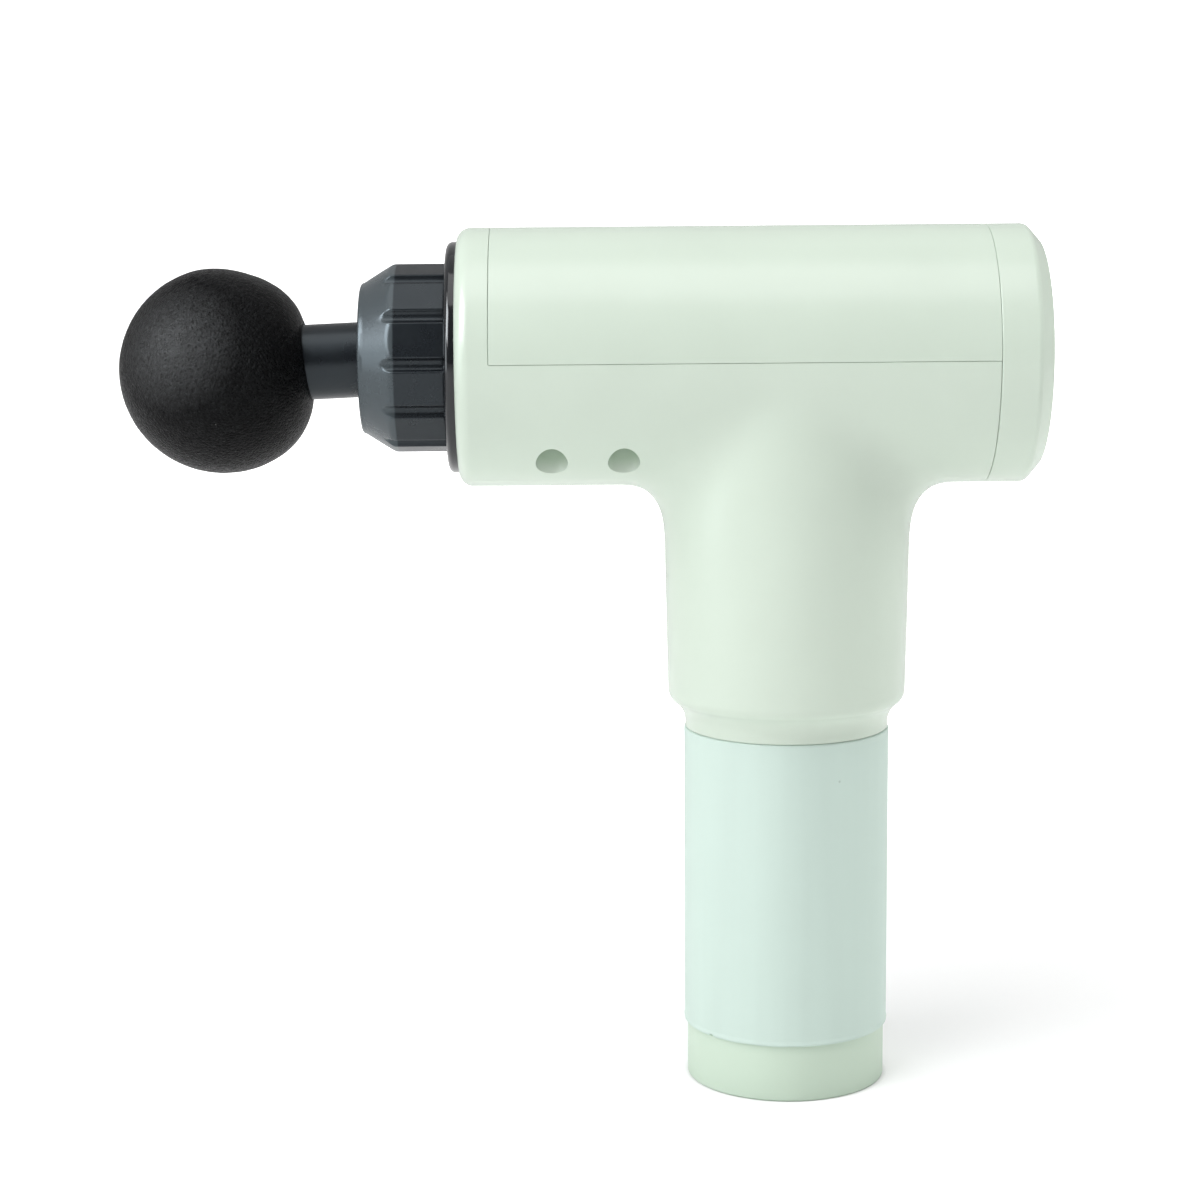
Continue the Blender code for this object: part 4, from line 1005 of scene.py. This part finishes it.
def board(name):
    """Solder-masked board: tracks, pads and weave under the mask."""
    n = Nodes(name)
    tracks = n.add("ShaderNodeTexBrick", {"Vector": n.place, "Scale": 260.0, "Mortar Size": 0.06,
                                          "Color1": linear((12, 70, 44)), "Color2": linear((16, 82, 50)),
                                          "Mortar": linear((42, 122, 74))})
    pads = n.span(n.cells(330), 0.10, 0.13, 1.0, 0.0)
    body = n.mix(n.math("MULTIPLY", pads, 0.8), tracks.outputs["Color"], linear((190, 176, 120)))
    weave = n.noise(1500, 2.0, 0.5, (1.0, 0.2, 1.0))
    return n.set(colour=body, rough=0.32, normal=n.bump(weave, 0.2, 0.00004),
                 metal=n.math("MULTIPLY", pads, 0.7))


def shrink_wrap(name):
    """Cell wrap: glossy printed sleeve with soft wrinkles."""
    n = Nodes(name)
    wrinkle = n.noise(240, 3.0, 0.5, (1.0, 1.0, 0.25))
    body = n.mix(n.span(wrinkle, 0.35, 0.65), linear((38, 104, 170)), linear((48, 120, 190)))
    return n.set(colour=body, rough=n.span(wrinkle, 0.3, 0.7, 0.22, 0.36), normal=n.bump(wrinkle, 0.3, 0.0002))


def light_guide(name):
    """Milky diffuser with fine scatter and a faint painted glow of its own."""
    n = Nodes(name)
    scatter = n.noise(1600, 3.0, 0.6)
    body = n.mix(n.span(scatter, 0.3, 0.7), linear((226, 232, 230)), linear((240, 244, 242)))
    # painted glow: a faint emission makes the diffuser brighter than the light falling on it
    return n.set(colour=body, rough=0.35, through=0.25, normal=n.bump(scatter, 0.2, 0.00004),
                 glow=linear((226, 240, 236)), glow_power=0.15)


def rubber(name):
    """Black rubber with a faint bloom."""
    n = Nodes(name)
    bloom = n.span(n.noise(300, 4.0, 0.6), 0.35, 0.75)
    body = n.mix(bloom, linear((24, 24, 25)), linear((40, 40, 41)))
    return n.set(colour=body, rough=n.span(bloom, 0, 1, 0.55, 0.75), normal=n.bump(n.noise(1400), 0.3, 0.00005))


LOOKS = {
    # wells=True paints shade down the screw wells
    "mint_gloss_plastic": moulded("mint_gloss_look", (198, 211, 197), 0.24, 0.00002, wells=True),
    "mint_base_plastic": moulded("mint_base_look", (194, 212, 194), 0.44, 0.00005, 1600, 0.97),
    "mint_silicone": silicone("mint_silicone_look", (194, 212, 203), 0.62),
    # charcoal: the light edge colour is painted edge highlight as well as wear, and (68, 75, 78) is a painted
    # highlight on the cone
    "charcoal_plastic": satin_dark("charcoal_look", (15, 18, 22), 0.29, (150, 158, 163), 0.65,
                                   (0.82, 0.93, 1.0), (68, 75, 78)),
    "black_gloss_plastic": polished("black_gloss_look", (20, 22, 25), 0.11),
    "black_foam": foam("foam_look"),
    "black_rubber": rubber("rubber_look"),
    "white_plastic": moulded("white_look", (226, 226, 220), 0.38),
    "black_plastic": satin_dark("black_plastic_look", (30, 31, 33), 0.42),
    "light_guide": light_guide("light_guide_look"),
    "steel": metal("steel_look", (176, 178, 182), 0.28, (1.0, 1.0, 8.0)),
    "magnet": metal("magnet_look", (92, 94, 98), 0.45, None, 0.4),
    "cast_aluminium": metal("aluminium_look", (168, 170, 172), 0.46, None, 0.3, 420),
    "copper": windings("copper_look"),
    "gilt_contacts": metal("gilt_look", (214, 172, 84), 0.24),
    "circuit_board": board("board_look"),
    "battery_cell": shrink_wrap("cell_look"),
    "wire_insulation": moulded("wire_look", (168, 34, 30), 0.40, 0.00005, 1400, 0.9),
}


def dress():
    """Every CAD node takes the look of its material slot; the new pieces take theirs afterwards, from their rig
    slot.
    """
    slots = {part["node"]: part["material_slot"] for part in frame["record"]["subparts"]}
    for name, obj in frame["nodes"].items():
        if not obj.material_slots:
            obj.data.materials.append(None)
        for slot in obj.material_slots:
            slot.material = LOOKS[slots[name]]


def paint(obj, slot):
    obj.data.materials.clear()
    obj.data.materials.append(LOOKS[slot])


# ---- stage ----------------------------------------------------------------------------------
def build_camera():
    place, target = Vector((-0.05093, -0.66069, 0.22955)), Vector((-0.04591, 0.0, 0.12082))
    roll = -0.0082
    back = (place - target).normalized()
    flat = Vector((0, 0, 1)).cross(back).normalized()
    top = back.cross(flat)
    right = flat * cos(roll) + top * sin(roll)
    up = top * cos(roll) - flat * sin(roll)
    data = bpy.data.cameras.new("camera")
    data.lens, data.sensor_width = 81.61, 36.0
    data.clip_start = 0.01
    camera = bpy.data.objects.new("camera", data)
    matrix = Matrix((right, up, back)).transposed().to_4x4()
    matrix.translation = place
    camera.matrix_world = matrix
    bpy.context.scene.collection.objects.link(camera)
    bpy.context.scene.camera = camera


def area(name, place, size, power, colour=(1, 1, 1)):
    """A rectangular light turned towards the middle of the object."""
    data = bpy.data.lights.new(name, "AREA")
    data.shape = "RECTANGLE"
    data.size, data.size_y = size
    data.energy = power
    data.color = colour
    light = bpy.data.objects.new(name, data)
    light.location = place
    light.rotation_euler = (Vector(LIGHT_AIM) - Vector(place)).to_track_quat("-Z", "Y").to_euler()
    bpy.context.scene.collection.objects.link(light)
    return light


def build_lights():
    """Soft studio light from the upper left, with reflections kept off some of the fills."""
    area("key", (-1.15, -0.83, 1.09), (1.4, 1.2), 18.6, (1.0, 1.0, 1.02))
    sheen = area("sheen", (-1.10, -0.75, 0.98), (0.8, 0.8), 17.0, (0.92, 1.0, 1.05))
    sheen.visible_diffuse = False
    side = area("side", (-1.50, -0.42, 0.18), (0.7, 0.8), 6.0, (0.92, 1.0, 1.05))
    side.visible_diffuse = False
    area("top", (-0.15, -0.35, 1.50), (1.3, 0.9), 5.5)
    crown = area("crown", (-0.15, -0.45, 1.45), (1.3, 0.9), 7.0)
    crown.visible_glossy = False
    rim = area("rim_right", (1.25, 0.25, 0.40), (0.4, 1.3), 7.5)
    rim.visible_glossy = False
    back = area("rim_left", (-0.9, 1.1, 0.6), (0.5, 1.2), 3.0)
    back.visible_glossy = False


def build_stage():
    """Pale sweep: a floor that curves up into a backdrop. It lights the object less than it shows."""
    wide, radius = 14.0, 1.2
    profile = [(-6.0, 0.0), (-2.0, 0.0), (0.0, 0.0), (3.2, 0.0)]
    profile += [(3.2 + radius * sin(a), radius * (1 - cos(a))) for a in np.linspace(0, pi / 2, 17)[1:]]
    profile += [(3.2 + radius, 6.0)]
    verts = [(x, y, z - 0.00002) for x in (-wide / 2, wide / 2) for y, z in profile]
    size = len(profile)
    faces = [(k, size + k, size + k + 1, k + 1) for k in range(size - 1)]
    sweep = new_piece("studio_floor", verts, faces)
    sweep.data.shade_smooth()
    n = Nodes("floor_look")
    path = n.add("ShaderNodeLightPath").outputs
    seen = path["Is Camera Ray"]
    tone = n.mix(n.span(n.noise(3.0), 0.3, 0.7), (FLOOR_TONE, FLOOR_TONE, FLOOR_TONE, 1),
                 (FLOOR_TONE * 1.02, FLOOR_TONE * 1.02, FLOOR_TONE * 1.02, 1))
    dim = (FLOOR_BOUNCE, FLOOR_BOUNCE, FLOOR_BOUNCE, 1)
    away = n.away()
    # painted light: the glow seen by the camera rises away from the object, whitening the floor and washing out
    # the far part of the cast shadow
    shown = n.math("ADD", FLOOR_GLOW, n.span(away, 0.16, 0.60, 0.0, 1.0))
    # painted contact shadow: the glow seen by the camera is taken away right round the base
    shown = n.math("MULTIPLY", shown, n.span(away, BASE_R - 0.0008, BASE_R + 0.0012))
    level = n.span(path["Is Glossy Ray"], 0.0, 1.0, *FLOOR_REFLECTED)
    reflected = n.math("MULTIPLY", n.math("SUBTRACT", 1.0, seen), level)
    # painted contact shade: the floor's light onto the object fades out close to the base
    reflected = n.math("MULTIPLY", reflected, n.span(away, BASE_R, BASE_R + 0.02))
    n.set(colour=n.mix(seen, dim, tone), rough=0.7, specular=0.1, glow=(1, 1, 1, 1),
          glow_power=n.math("ADD", n.math("MULTIPLY", seen, shown), reflected))
    sweep.data.materials.append(n.material)

    world = bpy.data.worlds.new("studio")
    bpy.context.scene.world = world
    world.use_nodes = True
    nodes, links = world.node_tree.nodes, world.node_tree.links
    background = nodes["Background"]
    background.inputs["Color"].default_value = (1, 1, 1, 1)
    way = nodes.new("ShaderNodeSeparateXYZ")
    links.new(nodes.new("ShaderNodeTexCoord").outputs["Generated"], way.inputs[0])
    room = nodes.new("ShaderNodeMapRange")
    room.inputs["From Min"].default_value = -1.0
    room.inputs["To Min"].default_value, room.inputs["To Max"].default_value = WORLD_POWER
    links.new(way.outputs["Y"], room.inputs["Value"])
    level = nodes.new("ShaderNodeMapRange")
    level.inputs["To Max"].default_value = 1.0
    links.new(room.outputs[0], level.inputs["To Min"])
    links.new(nodes.new("ShaderNodeLightPath").outputs["Is Camera Ray"], level.inputs["Value"])
    links.new(level.outputs[0], background.inputs["Strength"])


# ---- build ----------------------------------------------------------------------------------
build_body()
build_cover()
build_rear()
build_nose()
build_ball()
build_stem()
build_sleeve()
build_base()
build_switch()
build_screws()
dress()
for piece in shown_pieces():
    if piece.get("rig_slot"):
        paint(piece, piece["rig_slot"])

build_lights()
build_stage()
build_camera()

scene = bpy.context.scene
scene.view_settings.view_transform = "Standard"
scene.view_settings.look = "None"
